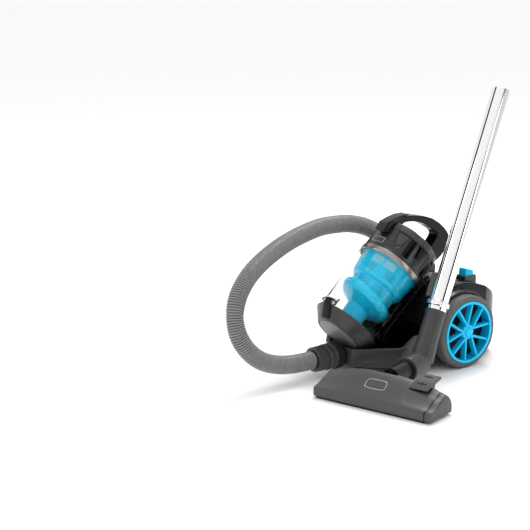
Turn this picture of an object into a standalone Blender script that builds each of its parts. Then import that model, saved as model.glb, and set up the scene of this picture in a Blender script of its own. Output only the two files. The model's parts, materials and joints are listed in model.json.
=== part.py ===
"""A bagless canister vacuum cleaner: canister, lift-off cyclone bin, hose, telescopic tube and floor tool.

Metres, +Z up. The design origin lies on the floor below the rear axle, in the canister's plane of
symmetry. -Y is the canister's front and +X its left side. The bin, the floor tool and the tube are
each built in a frame of their own, an empty whose +Z or +Y follows that part's axis.
"""

import math

import bmesh
import bpy
from mathutils import Matrix, Vector

# ---------------------------------------------------------------- driving dimensions
ORIGIN = Vector((-0.1013, 0.1101, 0.0))  # puts the box of everything but the hose over the origin
GAP = 0.0003  # between pieces that touch

WHEEL_RADIUS = 0.077
TYRE_BORE = 0.0653
TYRE_SPAN = (0.112, 0.143)  # distance of the tyre's two faces from the plane of symmetry
RIM_FACE = 0.1446
SPOKE_PAIRS = 5
AXLE_RADIUS = 0.005

TRAY_FLOOR = 0.022
TRAY_WALL = 0.0035
TRAY_RIM = 0.084
# Half of the tray's plan, from the nose to the tail.
TRAY_PLAN = [
    (0.036, -0.232),
    (0.044, -0.228),
    (0.112, -0.162),
    (0.114, -0.156),
    (0.114, -0.092),
    (0.106, -0.084),
    (0.106, 0.086),
    (0.100, 0.108),
    (0.085, 0.129),
    (0.060, 0.143),
    (0.030, 0.149),
]
# The rim as seen from the side: low at the nose, one step up beside the bin.
TRAY_SIDE = [
    (-0.250, TRAY_FLOOR),
    (0.180, TRAY_FLOOR),
    (0.180, TRAY_RIM),
    (-0.128, TRAY_RIM),
    (-0.134, 0.081),
    (-0.150, 0.070),
    (-0.160, 0.065),
    (-0.250, 0.0565),
]
# The rear housing's crown as seen from the side, from the tail to the bin.
CROWN = [
    (0.147, 0.090),
    (0.139, 0.106),
    (0.123, 0.126),
    (0.103, 0.143),
    (0.080, 0.157),
    (0.052, 0.167),
    (0.018, 0.1725),
    (-0.012, 0.1715),
    (-0.035, 0.163),
    (-0.050, 0.150),
    (-0.070, 0.128),
]
COVER_THICK = 0.006
COVER_Y = (-0.030, 0.086)
HATCH_Y = (0.090, 0.138)
HATCH_HALF = 0.055

BIN_TILT = math.radians(48.7)  # the bin leans back by this much
BIN_RING = (0.0, -0.092, 0.204)  # where its axis crosses the ring under the head
BIN_RADIUS = 0.070
CUP_TOP = -0.160  # heights along the bin's axis, from the ring
CUP_BOTTOM = -0.188
HEAD_TOP = 0.088
HANDLE_WIDTH = 0.028

INLET_Z = 0.040
SOCKET_Y = -0.2323
HOSE_RADIUS = 0.019

TOOL_FRONT = (0.2198, -0.3404, 0.0)  # middle of the floor tool's front edge
TOOL_TURN = math.radians(15.6)
TOOL_LENGTH = 0.267
TOOL_DEPTH = 0.081
KNUCKLE = (0.0, 0.066, 0.040)  # the pitch axis, in the tool's frame
KNUCKLE_BORE = 0.0115
PEDAL_PIVOT = (0.0, 0.062, 0.0465)  # the rocker pedal's axis, in the tool's frame
PEDAL_PIN = 0.0018
ELBOW = (0.0, 0.189, 0.054)  # where the tube's axis meets the elbow's
TUBE_LEAN = math.radians(30.15)
TUBE_RADIUS = 0.0192
TUBE_TOP = 0.594

# The hose, from its cuff at the canister's nose to the hand grip behind the canister.
HOSE_ROUTE = [
    (0.000, -0.3023, 0.0400),
    (0.000, -0.3340, 0.0400),
    (-0.001, -0.3720, 0.0430),
    (-0.003, -0.4080, 0.0520),
    (-0.006, -0.4360, 0.0660),
    (-0.011, -0.4590, 0.0880),
    (-0.018, -0.4730, 0.1140),
    (-0.025, -0.4770, 0.1410),
    (-0.032, -0.4720, 0.1690),
    (-0.041, -0.4560, 0.1950),
    (-0.052, -0.4260, 0.2210),
    (-0.065, -0.3860, 0.2410),
    (-0.078, -0.3370, 0.2580),
    (-0.089, -0.2900, 0.2700),
    (-0.098, -0.2430, 0.2780),
    (-0.105, -0.1970, 0.2830),
    (-0.110, -0.1520, 0.2820),
    (-0.114, -0.1070, 0.2770),
    (-0.119, -0.0590, 0.2630),
    (-0.126, -0.0130, 0.2400),
    (-0.135, 0.0300, 0.2080),
    (-0.145, 0.0680, 0.1680),
    (-0.155, 0.1010, 0.1230),
    (-0.165, 0.1330, 0.0800),
    (-0.179, 0.1680, 0.0450),
    (-0.201, 0.2050, 0.0250),
    (-0.235, 0.2390, 0.0195),
    (-0.272, 0.2560, 0.0195),
    (-0.310, 0.2640, 0.0195),
]

# ---------------------------------------------------------------- directions
OUT_LEFT = (0.0, math.pi / 2, 0.0)  # turns local +Z to +X
OUT_RIGHT = (0.0, -math.pi / 2, 0.0)
FORWARD = (math.pi / 2, 0.0, 0.0)  # turns local +Z to -Y
REARWARD = (-math.pi / 2, 0.0, 0.0)
SIDEWAYS = (math.pi / 2, 0.0, math.pi / 2)  # an outline in (y, z), thick along x


# ---------------------------------------------------------------- scene and materials
def clear_scene():
    for obj in list(bpy.data.objects):
        bpy.data.objects.remove(obj, do_unlink=True)


def new_collection(name):
    made = bpy.data.collections.new(name)
    bpy.context.scene.collection.children.link(made)
    return made


clear_scene()
PARTS = new_collection("canister_vacuum_cleaner")
CUTTERS = new_collection("cutters")
CUTTERS.hide_render = True


def material(name, colour, roughness, metallic=0.0, transmission=0.0):
    made = bpy.data.materials.new(name)
    made.use_nodes = True
    shader = made.node_tree.nodes["Principled BSDF"]
    shader.inputs["Base Color"].default_value = (*colour, 1.0)
    shader.inputs["Roughness"].default_value = roughness
    shader.inputs["Metallic"].default_value = metallic
    shader.inputs["Transmission Weight"].default_value = transmission
    made.diffuse_color = (*colour, 1.0)
    return made


GREY = material("dark_grey_plastic", (0.085, 0.083, 0.082), 0.42)
BLACK = material("gloss_black_plastic", (0.006, 0.006, 0.007), 0.12)
MATT_BLACK = material("matt_black_plastic", (0.012, 0.012, 0.012), 0.55)
CYAN = material("cyan_plastic", (0.0, 0.44, 0.72), 0.30)
CLEAR = material("clear_plastic", (0.95, 0.96, 0.96), 0.04, transmission=1.0)
CHROME = material("chrome", (0.90, 0.90, 0.91), 0.06, metallic=1.0)
WARM_METAL = material("satin_metal", (0.48, 0.44, 0.41), 0.28, metallic=1.0)
RUBBER = material("grey_rubber", (0.14, 0.13, 0.125), 0.65)
HOSE_GREY = material("hose_grey", (0.20, 0.20, 0.20), 0.45)
FOAM = material("filter_foam", (0.75, 0.75, 0.72), 0.90)
BRISTLE = material("bristle", (0.05, 0.05, 0.05), 0.80)
COPPER = material("motor_metal", (0.55, 0.55, 0.56), 0.35, metallic=1.0)


def empty(name, parent, location=(0, 0, 0), rotation=(0, 0, 0)):
    made = bpy.data.objects.new(name, None)
    PARTS.objects.link(made)
    made.parent = parent
    made.location = location
    made.rotation_euler = rotation
    return made


def place(name, mesh, finish, parent, location=(0, 0, 0), rotation=(0, 0, 0)):
    """One named object for a mesh. A cutter has no finish and goes in the cutters' collection."""
    made = bpy.data.objects.new(name, mesh)
    made.parent = parent
    made.location = location
    made.rotation_euler = rotation
    if finish:
        PARTS.objects.link(made)
        mesh.materials.append(finish)
    else:
        CUTTERS.objects.link(made)
        made.hide_render = True
        made.display_type = "WIRE"
    return made


def boolean(target, operation, *others):
    for other in others:
        step = target.modifiers.new(operation.lower(), "BOOLEAN")
        step.operation = operation
        step.solver = "EXACT"
        step.object = other
    return target


def cut(target, *others):
    return boolean(target, "DIFFERENCE", *others)


def join(target, *others):
    return boolean(target, "UNION", *others)


# ---------------------------------------------------------------- shapes
def mesh_from(bm, name):
    mesh = bpy.data.meshes.new(name)
    bm.to_mesh(mesh)
    bm.free()
    return mesh


def signed_area(points):
    return sum(a[0] * b[1] - b[0] * a[1] for a, b in zip(points, points[1:] + points[:1])) / 2


def turned(name, profile, finish, parent, location=(0, 0, 0), rotation=(0, 0, 0), steps=32):
    """A solid of revolution about local Z. The profile's points are (radius, height)."""
    if signed_area(profile) > 0:
        profile = profile[::-1]
    on_axis = [i for i, point in enumerate(profile) if point[0] == 0]
    if on_axis:
        start = next(i for i in on_axis if (i - 1) % len(profile) in on_axis)
        profile = profile[start:] + profile[:start]
    bm = bmesh.new()
    ring = [bm.verts.new((radius, 0, height)) for radius, height in profile]
    for a, b in zip(ring, ring[1:]):
        bm.edges.new((a, b))
    if not on_axis:
        bm.edges.new((ring[-1], ring[0]))
    made = place(name, mesh_from(bm, name), finish, parent, location, rotation)
    screw = made.modifiers.new("turn", "SCREW")
    screw.axis = "Z"
    screw.steps = screw.render_steps = steps
    screw.use_merge_vertices = True
    screw.merge_threshold = 0.0001
    screw.use_smooth_shade = True
    return made


def curve_mesh(curve_data, name):
    """The mesh of a curve, with its caps welded on."""
    holder = bpy.data.objects.new(name, curve_data)
    CUTTERS.objects.link(holder)
    graph = bpy.context.evaluated_depsgraph_get()
    mesh = bpy.data.meshes.new_from_object(holder.evaluated_get(graph))
    bpy.data.objects.remove(holder, do_unlink=True)
    mesh.materials.clear()
    bm = bmesh.new()
    bm.from_mesh(mesh)
    bmesh.ops.remove_doubles(bm, verts=bm.verts, dist=0.00001)
    bmesh.ops.recalc_face_normals(bm, faces=bm.faces)
    bm.to_mesh(mesh)
    bm.free()
    return mesh


def slab(name, outline, low, high, finish, parent, location=(0, 0, 0), rotation=(0, 0, 0)):
    """A flat outline in local XY, thick from low to high along local Z."""
    data = bpy.data.curves.new(name, "CURVE")
    data.dimensions = "2D"
    data.fill_mode = "BOTH"
    data.extrude = (high - low) / 2
    spline = data.splines.new("POLY")
    spline.points.add(len(outline) - 1)
    for point, (x, y) in zip(spline.points, outline):
        point.co = (x, y, 0, 1)
    spline.use_cyclic_u = True
    mesh = curve_mesh(data, name)
    mesh.transform(Matrix.Translation((0, 0, (low + high) / 2)))
    return place(name, mesh, finish, parent, location, rotation)


def across(name, outline, half, finish, parent, middle=0.0):
    """A side outline in (y, z), as wide as two halves along x."""
    return slab(name, outline, middle - half, middle + half, finish, parent, rotation=SIDEWAYS)


def box(name, low, high, finish, parent, location=(0, 0, 0), rotation=(0, 0, 0)):
    bm = bmesh.new()
    bmesh.ops.create_cube(bm, size=1)
    size = [b - a for a, b in zip(low, high)]
    middle = [(a + b) / 2 for a, b in zip(low, high)]
    bmesh.ops.transform(bm, matrix=Matrix.Translation(middle) @ Matrix.Diagonal((*size, 1)), verts=bm.verts)
    return place(name, mesh_from(bm, name), finish, parent, location, rotation)


def rod(name, radius, low, high, finish, parent, location=(0, 0, 0), rotation=(0, 0, 0), steps=24):
    profile = [(0, low), (radius, low), (radius, high), (0, high)]
    return turned(name, profile, finish, parent, location, rotation, steps)


def pipe(name, route, radius, finish, parent, sides=2):
    """A round bar along a smooth curve through the route's points, as a curve with filled caps."""
    data = bpy.data.curves.new(name, "CURVE")
    data.dimensions = "3D"
    data.bevel_depth = radius
    data.bevel_resolution = sides
    data.use_fill_caps = True
    points = smooth_through([Vector(point) for point in route], 2)
    spline = data.splines.new("POLY")
    spline.points.add(len(points) - 1)
    for point, place_at in zip(spline.points, points):
        point.co = (*place_at, 1)
    made = bpy.data.objects.new(name, data)
    PARTS.objects.link(made)
    made.parent = parent
    data.materials.append(finish)
    return made


def smooth_through(route, between):
    """Points of a Catmull-Rom curve through the route, with this many steps between its points."""
    padded = [2 * route[0] - route[1], *route, 2 * route[-1] - route[-2]]
    points = []
    for a, b, c, d in zip(padded, padded[1:], padded[2:], padded[3:]):
        for i in range(between):
            t = i / between
            points.append(
                0.5 * (2 * b + (c - a) * t + (2 * a - 5 * b + 4 * c - d) * t**2 + (3 * b - a - 3 * c + d) * t**3)
            )
    return [*points, route[-1]]


def mirrored(half):
    """A closed outline from its half at x > 0, listed from -Y to +Y."""
    return half + [(-x, y) for x, y in reversed(half)]


def inset(outline, by):
    """The outline moved inwards, or outwards where by is negative. Corners stay sharp."""
    if signed_area(outline) < 0:
        outline = outline[::-1]
    moved = []
    for before, here, after in zip(outline[-1:] + outline[:-1], outline, outline[1:] + outline[:1]):
        first = (Vector(here) - Vector(before)).normalized()
        second = (Vector(after) - Vector(here)).normalized()
        inward = Vector((-first.y - second.y, first.x + second.x)).normalized()
        moved.append(tuple(Vector(here) + inward * by / inward.dot((-first.y, first.x))))
    return moved


def ring_sector(inner, outer, start, end, steps):
    """An outline between two radii, over angles in degrees."""
    angles = [math.radians(start + (end - start) * i / steps) for i in range(steps + 1)]
    far = [(outer * math.cos(a), outer * math.sin(a)) for a in angles]
    near = [(inner * math.cos(a), inner * math.sin(a)) for a in reversed(angles)]
    return far + near


# ---------------------------------------------------------------- wheels
def wheel(side, parent):
    """A spoked rim, the plate behind its spokes, a tyre and an axle stub."""
    turn, name = (OUT_LEFT, "left") if side > 0 else (OUT_RIGHT, "right")
    at = (0, 0, WHEEL_RADIUS)
    rim_radius = TYRE_BORE - GAP
    inside = rim_radius - 0.003
    rim = turned(
        f"wheel_rim_{name}",
        [(rim_radius, 0.114), (rim_radius, RIM_FACE), (0.060, RIM_FACE), (inside, 0.138), (inside, 0.114)],
        CYAN, parent, at, turn, 32,
    )
    hub = turned(
        f"hub_shape_{name}",
        [
            (AXLE_RADIUS + GAP, 0.114), (0.016, 0.114), (0.016, 0.1395), (0.0135, 0.1410),
            (0.0095, 0.1410), (0.0085, 0.1440), (0, RIM_FACE), (0, 0.137), (AXLE_RADIUS + GAP, 0.137),
        ],
        None, parent, at, turn, 32,
    )
    shapes = [hub]
    for pair in range(SPOKE_PAIRS):
        for lean in (-1, 1):
            root_angle = math.radians(46) + 2 * math.pi * pair / SPOKE_PAIRS
            tip_angle = root_angle + lean * math.radians(20)
            root = 0.0135 * Vector((math.cos(root_angle), math.sin(root_angle)))
            tip = 0.0635 * Vector((math.cos(tip_angle), math.sin(tip_angle)))
            along = tip - root
            heading = math.atan2(along.y, along.x)
            spoke = box(
                f"spoke_{name}_{pair}_{lean + 1}",
                (0, -0.0026, 0.1352 + 0.0002 * lean), (along.length, 0.0026, 0.1418 + 0.0002 * lean),
                None, parent,
            )
            spoke.data.transform(Matrix.Translation((*root, 0)) @ Matrix.Rotation(heading, 4, "Z"))
            spoke.location, spoke.rotation_euler = at, turn
            shapes.append(spoke)
    join(rim, *shapes)
    turned(
        f"wheel_plate_{name}",
        [(inside - GAP, 0.117), (inside - GAP, 0.120), (0.0163, 0.120), (0.0163, 0.117)],
        MATT_BLACK, parent, at, turn, 32,
    )
    low, high = TYRE_SPAN
    turned(
        f"tyre_{name}",
        [
            (TYRE_BORE, low), (0.0735, low), (WHEEL_RADIUS, low + 0.0035), (WHEEL_RADIUS, high - 0.0045),
            (0.0745, high - 0.001), (0.0690, high), (TYRE_BORE, high),
        ],
        RUBBER, parent, at, turn, 32,
    )
    turned(
        f"axle_{name}",
        [(0, 0.1063), (0.014, 0.1063), (0.014, 0.1090), (AXLE_RADIUS, 0.1090), (AXLE_RADIUS, 0.1366), (0, 0.1366)],
        COPPER, parent, at, turn, 16,
    )


# ---------------------------------------------------------------- canister
def chassis(parent):
    """The tray, its liner and the caster under its nose."""
    plan = mirrored(TRAY_PLAN)
    tray = slab("chassis_tray", plan, 0, 0.1, GREY, parent)
    boolean(tray, "INTERSECT", across("tray_side", TRAY_SIDE, 0.15, None, parent))
    cut(tray, slab("tray_hollow", inset(plan, TRAY_WALL), TRAY_FLOOR + TRAY_WALL, 0.2, None, parent))
    cut(tray, rod("inlet_hole", 0.0152, -0.02, 0.02, None, parent, (0, SOCKET_Y, INLET_Z), FORWARD))

    front = [(0.106, -0.062) if y > -0.07 else (x, y) for x, y in TRAY_PLAN if y < 0.1 or x > 0.1]
    front = [point for i, point in enumerate(front) if point not in front[:i]]
    tub = inset(mirrored(front), TRAY_WALL + 2 * GAP)
    liner = slab("deck_liner", tub, 0.0, 0.1, MATT_BLACK, parent)
    rim = [(y, min(z, TRAY_RIM) - 0.003) for y, z in TRAY_SIDE[2:]]
    floor = TRAY_FLOOR + TRAY_WALL + GAP
    boolean(liner, "INTERSECT", across("liner_side", [(-0.25, floor), (0.18, floor), *rim], 0.15, None, parent))
    cut(liner, slab("liner_hollow", inset(tub, 0.0025), floor + 0.0025, 0.2, None, parent))
    cut(liner, rod("duct_hole", 0.0152, -0.04, 0.03, None, parent, (0, SOCKET_Y, INLET_Z), FORWARD))
    join(liner, box("cup_rest", (-0.026, -0.186, floor + 0.001), (0.026, -0.164, 0.0375), None, parent))

    fork = turned(
        "caster_fork",
        [(0, 0.0185), (0.014, 0.0185), (0.014, 0.0217), (0, 0.0217)],
        MATT_BLACK, parent, (0, -0.190, 0),
    )
    for side in (-1, 1):
        cheek = [(-0.004, 0.0200), (-0.004, 0.0110), (0.004, 0.0050), (0.012, 0.0050), (0.014, 0.0200)]
        join(fork, across(f"cheek_{side + 1}", [(y - 0.190, z) for y, z in cheek], 0.0015, None, parent, side * 0.0095))
    pin = rod("caster_pin_shape", 0.0020, -0.0095, 0.0095, None, parent, (0, -0.182, 0.009), OUT_LEFT, 12)
    join(fork, pin)
    turned(
        "caster_wheel",
        [(0.0024, -0.0070), (0.0080, -0.0070), (0.0090, -0.0050), (0.0090, 0.0050), (0.0080, 0.0070), (0.0024, 0.0070)],
        RUBBER, parent, (0, -0.182, 0.009), OUT_LEFT, 24,
    )


def bin_clearance(name, parent, radius):
    """A bar along the bin's axis, which cuts the bin's seat out of the canister."""
    return rod(name, radius, -0.30, 0.25, None, parent, steps=36)


def crown_outline(by):
    """The housing's side outline under its crown, moved in by this much."""
    return inset([(-0.070, 0.070), (0.163, 0.070), *CROWN], by)


def band(y_low, y_high, outer, inner):
    """A strip that follows the crown between two depths below it."""
    def clip(depth):
        line = [Vector(point) for point in crown_outline(depth)[2:]]
        kept = []
        for a, b in zip(line, line[1:]):
            for t in (0.0, 1.0):
                point = a.lerp(b, t)
                if y_low < point.x < y_high and tuple(point) not in kept:
                    kept.append(tuple(point))
            for y in (y_high, y_low):
                if (a.x - y) * (b.x - y) < 0:
                    kept.append(tuple(a.lerp(b, (a.x - y) / (a.x - b.x))))
        return sorted(set(kept), reverse=True)

    return clip(outer) + clip(inner)[::-1]


def housing(parent, bin_frame):
    """The shell over the motor, its gloss cover, and the hatch over the exhaust filter."""
    rear = [(0.106, -0.062)] + [point for point in TRAY_PLAN if point[1] > 0]
    plan = mirrored(rear)
    base = TRAY_RIM + GAP
    shell = slab("rear_housing", plan, base, 0.2, GREY, parent)
    boolean(shell, "INTERSECT", across("crown_shape", crown_outline(0), 0.15, None, parent))
    cover_line = band(*COVER_Y, 0, COVER_THICK)
    cut(shell, across("cover_seat", inset(cover_line, -GAP), 0.15, None, parent))
    hollow = slab("housing_hollow", inset(plan, TRAY_WALL), 0.0, 0.2, None, parent)
    boolean(hollow, "INTERSECT", across("hollow_side", crown_outline(COVER_THICK + 0.003), 0.15, None, parent))
    cut(shell, hollow)
    cut(shell, bin_clearance("housing_seat", bin_frame, 0.0835))
    hatch_line = band(*HATCH_Y, 0, COVER_THICK)
    cut(shell, across("hatch_seat", inset(hatch_line, -GAP), HATCH_HALF + GAP, None, parent))
    window = band(HATCH_Y[0] + 0.006, HATCH_Y[1] - 0.006, 0.004, 0.020)
    cut(shell, across("filter_window", window, HATCH_HALF - 0.006, None, parent))
    for side, name in ((1, "left"), (-1, "right")):
        low, high = sorted((side * 0.1030, side * 0.1220))
        arch = ring_sector(0.0802, 0.0852, 0, 152, 16)
        lip = slab(f"fender_{name}", arch, low, high, None, parent, (0, 0, WHEEL_RADIUS), SIDEWAYS)
        trim = box(f"fender_end_{name}", (low - 0.01, -0.2, 0), (high + 0.01, 0.2, base), None, parent)
        join(shell, cut(lip, trim))

    cover = across("top_cover", cover_line, 0.106, BLACK, parent)
    cut(cover, bin_clearance("cover_clearance", bin_frame, 0.0838))
    for side in (-1, 1):
        stalk = [(0.0515, 0.1640), (0.0845, 0.1515), (0.0845, 0.1735), (0.0515, 0.1735)]
        join(cover, across(f"stalk_{side + 1}", stalk, 0.0135, None, parent, side * 0.062))
        pocket = box(f"pocket_{side + 1}", (-0.0111, 0.0552, 0.1675), (0.0111, 0.0808, 0.19), None, parent)
        pocket.location.x = side * 0.062
        cut(cover, pocket)
        name = "power_pedal" if side > 0 else "rewind_pedal"
        button = [(0.0560, 0.1720), (0.0800, 0.1720), (0.0785, 0.1840), (0.0575, 0.1895)]
        across(name, button, 0.0105, CYAN, parent, side * 0.062)

    across("exhaust_cover", hatch_line, HATCH_HALF, GREY, parent)


def inner_works(parent):
    """What the rear housing holds: motor, fan, cord reel and exhaust filter."""
    turned(
        "motor",
        [(0, -0.040), (0.030, -0.040), (0.036, -0.034), (0.036, 0.034), (0.030, 0.040), (0, 0.040)],
        COPPER, parent, (0.015, 0.045, 0.090), OUT_LEFT, 20,
    )
    turned(
        "fan",
        [(0, 0.0405), (0.034, 0.0405), (0.036, 0.0520), (0.020, 0.0560), (0, 0.0560)],
        COPPER, parent, (0.015, 0.045, 0.090), OUT_LEFT, 20,
    )
    turned(
        "cord_reel",
        [
            (0, -0.018), (0.052, -0.018), (0.052, -0.015), (0.024, -0.015),
            (0.024, 0.015), (0.052, 0.015), (0.052, 0.018), (0, 0.018),
        ],
        MATT_BLACK, parent, (-0.060, 0.045, 0.090), OUT_LEFT, 24,
    )
    slope = math.atan2(CROWN[1][1] - CROWN[4][1], CROWN[1][0] - CROWN[4][0])
    box(
        "exhaust_filter", (-0.052, -0.022, -0.006), (0.052, 0.022, 0.006), FOAM, parent,
        (0, 0.1065, 0.1145), (slope, 0, 0),
    )
    turned(
        "cord_outlet",
        [(0.0035, 0.1494), (0.0080, 0.1494), (0.0080, 0.1510), (0.0060, 0.1540), (0.0035, 0.1540)],
        MATT_BLACK, parent, (-0.018, 0, 0.055), REARWARD, 16,
    )


def hose_fittings(parent):
    """The inlet socket on the nose, its swivelling collar and the hose's knurled cuff."""
    at = (0, SOCKET_Y, INLET_Z)
    turned(
        "hose_socket",
        [(0.0145, -0.020), (0.0145, 0.018), (0.0290, 0.018), (0.0290, 0.003), (0.0240, 0.0003), (0.0150, 0.0003), (0.0150, -0.020)],
        MATT_BLACK, parent, at, FORWARD, 24,
    )
    turned(
        "swivel_collar",
        [
            (0.0145, 0.0183), (0.0270, 0.0183), (0.0270, 0.0260), (0.0255, 0.0270), (0.0255, 0.0330),
            (0.0270, 0.0340), (0.0270, 0.0420), (0.0145, 0.0420),
        ],
        MATT_BLACK, parent, at, FORWARD, 24,
    )
    turned(
        "hose_cuff",
        [(0.0145, 0.0423), (0.0255, 0.0423), (0.0255, 0.0650), (0.0235, 0.0697), (0.0145, 0.0697)],
        GREY, parent, at, FORWARD, 24,
    )


def hand_grip(parent):
    """The bent grip on the hose's far end, lying on its side, with its suction slider."""
    before, end = smooth_through([Vector(point) for point in HOSE_ROUTE], 2)[-2:]
    heading = (end - before).normalized()
    frame = empty("grip_frame", parent, end, (0, 0, math.atan2(heading.y, heading.x)))
    grip = turned(
        "hand_grip",
        [(0.0125, 0.0003), (0.0190, 0.0003), (0.0190, 0.022), (0.0165, 0.030), (0.0165, 0.075), (0.0125, 0.075)],
        GREY, frame, rotation=(0, math.pi / 2, 0),
    )
    bend = curve_shape(
        "grip_bend", [(0.070, 0, 0), (0.105, -0.003, 0), (0.140, -0.016, 0), (0.172, -0.038, 0)], 0.0160, frame
    )
    loop = curve_shape(
        "grip_loop",
        [(0.060, -0.012, 0), (0.075, -0.040, 0), (0.105, -0.060, 0), (0.140, -0.062, 0), (0.160, -0.034, 0)],
        0.0095, frame,
    )
    join(grip, bend, loop)
    bore = curve_shape(
        "grip_bore", [(0.040, 0, 0), (0.072, 0, 0), (0.105, -0.003, 0), (0.140, -0.016, 0), (0.185, -0.047, 0)], 0.0125, frame
    )
    cut(grip, bore)
    box("suction_slider", (0.040, -0.006, 0.0168), (0.056, 0.006, 0.0205), BLACK, frame)


def curve_shape(name, route, radius, parent):
    """A round bar along a route, as a mesh for a Boolean."""
    data = bpy.data.curves.new(name, "CURVE")
    data.dimensions = "3D"
    data.bevel_depth = radius
    data.bevel_resolution = 2
    data.use_fill_caps = True
    points = smooth_through([Vector(point) for point in route], 2)
    spline = data.splines.new("POLY")
    spline.points.add(len(points) - 1)
    for point, place_at in zip(spline.points, points):
        point.co = (*place_at, 1)
    return place(name, curve_mesh(data, name), None, parent)


# ---------------------------------------------------------------- bin
def dust_bin(frame):
    """The clear bin, its ring, the cyclone inside it and the lid that empties it."""
    clear = turned(
        "bin_cylinder",
        [(BIN_RADIUS, -0.0040), (0.0678, -0.1660), (0.0656, -0.1660), (BIN_RADIUS - 0.0022, -0.0040)],
        CLEAR, frame, steps=36,
    )
    wedge = [(-0.0672, -0.1594), (-0.0790, -0.1594), (-0.0790, -0.1540), (-0.0700, -0.1415), (-0.0672, -0.1415)]
    catch = across("catch_shape", wedge, 0.0185, None, frame)
    cut(catch, box("latch_slot", (-0.0112, -0.10, -0.17), (0.0112, -0.0712, -0.1465), None, frame))
    join(clear, catch)
    turned(
        "bin_ring",
        [(0.0735, 0.0), (0.0735, -0.0100), (0.0722, -0.0120), (0.0704, -0.0120), (0.0704, 0.0)],
        WARM_METAL, frame, steps=36,
    )
    turned(
        "bottom_lid",
        [
            (0, -0.1850), (0.0505, -0.1850), (0.0648, -0.1680), (0.0648, -0.1664), (0.0684, -0.1664),
            (0.0684, CUP_TOP), (0.0722, CUP_TOP), (0.0722, -0.1635), (0.0522, CUP_BOTTOM), (0, CUP_BOTTOM),
        ],
        GREY, frame, steps=36,
    )
    latch = [
        (-0.0727, -0.1640), (-0.0727, -0.1490), (-0.0770, -0.1490), (-0.0785, -0.1560), (-0.0752, -0.1650),
        (-0.0575, -0.1872), (-0.0549, -0.1860),
    ]
    across("lid_latch", latch, 0.0100, MATT_BLACK, frame)
    rod("lid_hinge_pin", 0.0022, -0.020, 0.020, COPPER, frame, (0, 0.0746, -0.1565), OUT_LEFT, 12)
    turned(
        "cyclone_shroud",
        [
            (0.0650, -0.0045), (0.0650, -0.0100), (0.0625, -0.0140), (0.0595, -0.0500), (0.0560, -0.0580),
            (0.0500, -0.0620), (0.0480, -0.0620), (0.0480, -0.0600), (0.0542, -0.0562), (0.0575, -0.0490),
            (0.0605, -0.0140), (0.0605, -0.0045),
        ],
        CYAN, frame, steps=24,
    )
    turned(
        "mesh_screen",
        [(0.0500, -0.0623), (0.0490, -0.0880), (0.0470, -0.0880), (0.0480, -0.0623)],
        CYAN, frame, steps=24,
    )
    turned(
        "cyclone_skirt",
        [
            (0.0487, -0.0883), (0.0565, -0.0895), (0.0590, -0.0960), (0.0590, -0.1060), (0.0520, -0.1130),
            (0.0300, -0.1205), (0.0265, -0.1225), (0.0245, -0.1225), (0.0245, -0.1195), (0.0505, -0.1112),
            (0.0570, -0.1050), (0.0570, -0.0970), (0.0550, -0.0915), (0.0487, -0.0903),
        ],
        CYAN, frame, steps=24,
    )
    turned(
        "cyclone_stem",
        [(0.0262, -0.1228), (0.0235, -0.1800), (0.0215, -0.1800), (0.0242, -0.1228)],
        CYAN, frame, steps=24,
    )
    turned(
        "vortex_finder",
        [(0.0560, -0.0045), (0.0560, -0.0065), (0.0200, -0.0065), (0.0180, -0.0700), (0.0160, -0.0700), (0.0160, -0.0045)],
        MATT_BLACK, frame, steps=24,
    )


def head_outline(grow):
    return [
        (0, -0.01), (0.0720 + grow, -0.01), (0.0720 + grow, 0.0040), (0.0705 + grow, 0.0060),
        (0.0650 + grow, 0.0685), (0.0615 + grow, 0.0850), (0.0560 + grow, HEAD_TOP + grow), (0, HEAD_TOP + grow),
    ]


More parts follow.
